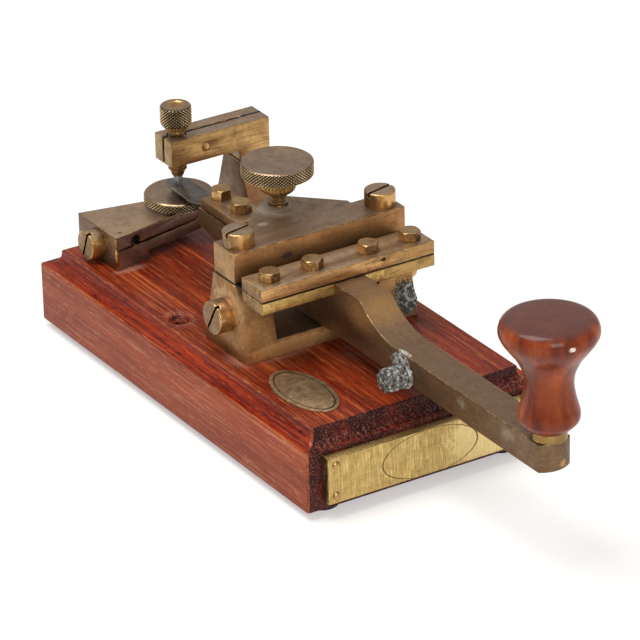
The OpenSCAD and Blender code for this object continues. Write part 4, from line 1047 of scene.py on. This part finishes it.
def buildRestScrew():
    centre, r, top, foot = turnedBox("rest_contact_screw")
    discLow = top - discLook["disc"]
    knurlRows = rows(discLow + 0.15, top - 0.75, discLook["rowsOfDiamonds"] * 2)
    sides = discLook["diamonds"] * 2
    outline = [(3.0, foot)]
    outline += threadOutline(foot + 0.2, discLow - 0.2, discLook["threadPitch"], 3.4, discLook["threadDepth"])
    outline += [(3.2, discLow), (r - 0.7, discLow), (r - 0.45, discLow + 0.1)]
    outline += [(r, z) for z in knurlRows]
    outline += [(r - 0.3, top - 0.6), (r - 0.35, top - 0.35), (r - 0.8, top), (r - 3.0, top), (3.0, top)]
    piece = turnPiece(centre, outline, sides)
    pressPoints(piece, centre, knurlRows[0], knurlRows[-1], sides, discLook["depth"], r, knurlRows)
    finish = knurledBrass("brassDiscKnurled", "rest_contact_screw", discLook["depth"], r)
    finishTurned(piece, "restContactScrew", "rest_screw_unit", "rest_contact_screw", finish)


buildTensionScrew()
buildContactScrew()
buildRestScrew()
print("knurled screws done")

springLook = {"wire": 0.35, "turns": 6, "stepsPerTurn": 28, "lift": 0.26}


def buildSpring():
    low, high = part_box("return_spring")
    low.z += springLook["lift"] * mm        # room for the lever, which rises 0.23 mm under the spring
    centre = ((low.x + high.x) / 2, (low.y + high.y) / 2)
    wire = springLook["wire"] * mm
    coil = (high.x - low.x) / 2 - wire
    bpy.ops.object.select_all(action="DESELECT")
    bpy.ops.mesh.primitive_circle_add(vertices=10, radius=wire, fill_type="NOTHING",
                                      rotation=(math.pi / 2, 0, 0),
                                      location=(centre[0] + coil, centre[1], low.z + wire))
    piece = bpy.context.object
    bpy.ops.object.transform_apply(location=True, rotation=True, scale=True)
    axis = bpy.data.objects.new("springAxis", None)
    axis.location = (centre[0], centre[1], 0)
    bpy.context.scene.collection.objects.link(axis)
    bpy.context.view_layer.update()
    wind = piece.modifiers.new("wind", "SCREW")
    wind.object = axis
    wind.angle = 2 * math.pi
    wind.iterations = springLook["turns"]
    wind.screw_offset = (high.z - low.z - 2 * wire) / springLook["turns"]
    wind.steps = springLook["stepsPerTurn"]
    wind.render_steps = springLook["stepsPerTurn"]
    wind.use_merge_vertices = False
    applyModifiers(piece)
    bpy.data.objects.remove(axis)
    onlySelect(piece)
    toEdit()
    bpy.ops.mesh.select_all(action="SELECT")
    bpy.ops.mesh.remove_doubles(threshold=mergeReach)
    bpy.ops.mesh.select_all(action="DESELECT")
    bpy.ops.mesh.select_mode(type="EDGE")
    bpy.ops.mesh.select_non_manifold()
    bpy.ops.mesh.edge_face_add()
    bpy.ops.mesh.select_all(action="SELECT")
    bpy.ops.mesh.normals_make_consistent(inside=False)
    bpy.ops.mesh.select_mode(type="VERT")
    toObject()
    setMaterials(piece, plainSteel)
    bpy.ops.object.shade_smooth_by_angle(angle=math.radians(50))
    piece.name = "returnSpring"
    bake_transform(piece)
    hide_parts("return_spring")


buildSpring()
print("spring done")

stageLook = {"floor": "#F4F1ED", "camera": 0.42, "low": 0.42, "high": 0.80, "key": 16.0, "fill": 5.0}


def buildStage():
    bpy.ops.object.select_all(action="DESELECT")
    bpy.ops.mesh.primitive_plane_add(size=8.0, location=(0, 0, 0))
    floor = bpy.context.object
    floor.name = "floor"
    material = bpy.data.materials.new("floorPaper")
    material.use_nodes = True
    tree = material.node_tree
    tree.nodes.clear()
    out = addNode(tree, "ShaderNodeOutputMaterial")
    paper = addNode(tree, "ShaderNodeBsdfDiffuse", {"Color": toLinear(stageLook["floor"])})
    glow = addNode(tree, "ShaderNodeEmission", {"Color": (1, 1, 1, 1), "Strength": 1.0})
    path = addNode(tree, "ShaderNodeLightPath")
    seen = maths(tree, "MAXIMUM", (path, "Is Camera Ray"), (path, "Is Glossy Ray"))
    share = maths(tree, "MULTIPLY", seen, stageLook["camera"])
    both = addNode(tree, "ShaderNodeMixShader", None, {0: share, 1: (paper, 0), 2: (glow, 0)})
    feed(tree, (both, 0), out, "Surface")
    setMaterials(floor, material)

    world = bpy.data.worlds.new("studio")
    bpy.context.scene.world = world
    world.use_nodes = True
    tree = world.node_tree
    tree.nodes.clear()
    out = addNode(tree, "ShaderNodeOutputWorld")
    # a soft ceiling: brighter overhead than at eye level
    seen = addNode(tree, "ShaderNodeTexCoord"), "Generated"
    way = addNode(tree, "ShaderNodeSeparateXYZ", None, {0: seen})
    strength = ramp(tree, (way, 2), 0.1, 0.9, stageLook["low"], stageLook["high"])
    soft = addNode(tree, "ShaderNodeBackground", {"Color": (1, 1, 1, 1)}, {"Strength": strength})
    white = addNode(tree, "ShaderNodeBackground", {"Color": (1, 1, 1, 1), "Strength": 1.0})
    path = addNode(tree, "ShaderNodeLightPath")
    mixed = addNode(tree, "ShaderNodeMixShader", None,
                    {0: (path, "Is Camera Ray"), 1: (soft, 0), 2: (white, 0)})
    feed(tree, (mixed, 0), out, "Surface")

    for name, where, size, power in (("key", (-0.45, 0.1, 1.4), 0.9, stageLook["key"]),
                                     ("fill", (-0.3, -1.1, 0.6), 0.5, stageLook["fill"])):
        lamp = bpy.data.lights.new(name, "AREA")
        lamp.size = size
        lamp.energy = power
        holder = bpy.data.objects.new(name, lamp)
        holder.location = where
        holder.rotation_euler = (Vector((0, 0.03, 0.03)) - Vector(where)).to_track_quat("-Z", "Y").to_euler()
        bpy.context.scene.collection.objects.link(holder)
    bpy.context.scene.view_settings.view_transform = "Standard"


cameraLook = {"target": (0.01127, 0.03851, 0.0246), "distance": 1.6438, "yaw": -31.70, "pitch": 26.26,
              "roll": -1.33, "lens": 264.4}


def buildCamera():
    yaw, pitch, roll = (math.radians(cameraLook[k]) for k in ("yaw", "pitch", "roll"))
    back = Vector((math.sin(yaw) * math.cos(pitch), -math.cos(yaw) * math.cos(pitch), math.sin(pitch)))
    right = (-back).cross(Vector((0, 0, 1))).normalized()
    up = right.cross(-back)
    rolledRight = math.cos(roll) * right + math.sin(roll) * up
    rolledUp = -math.sin(roll) * right + math.cos(roll) * up
    data = bpy.data.cameras.new("camera")
    data.lens = cameraLook["lens"]
    data.sensor_width = 36.0
    data.clip_end = 20.0
    camera = bpy.data.objects.new("camera", data)
    bpy.context.scene.collection.objects.link(camera)
    place = Vector(cameraLook["target"]) + back * cameraLook["distance"]
    camera.matrix_world = Matrix(((rolledRight.x, rolledUp.x, back.x, place.x),
                                  (rolledRight.y, rolledUp.y, back.y, place.y),
                                  (rolledRight.z, rolledUp.z, back.z, place.z), (0, 0, 0, 1)))
    bpy.context.scene.camera = camera


buildStage()
buildCamera()

print("scene ready")
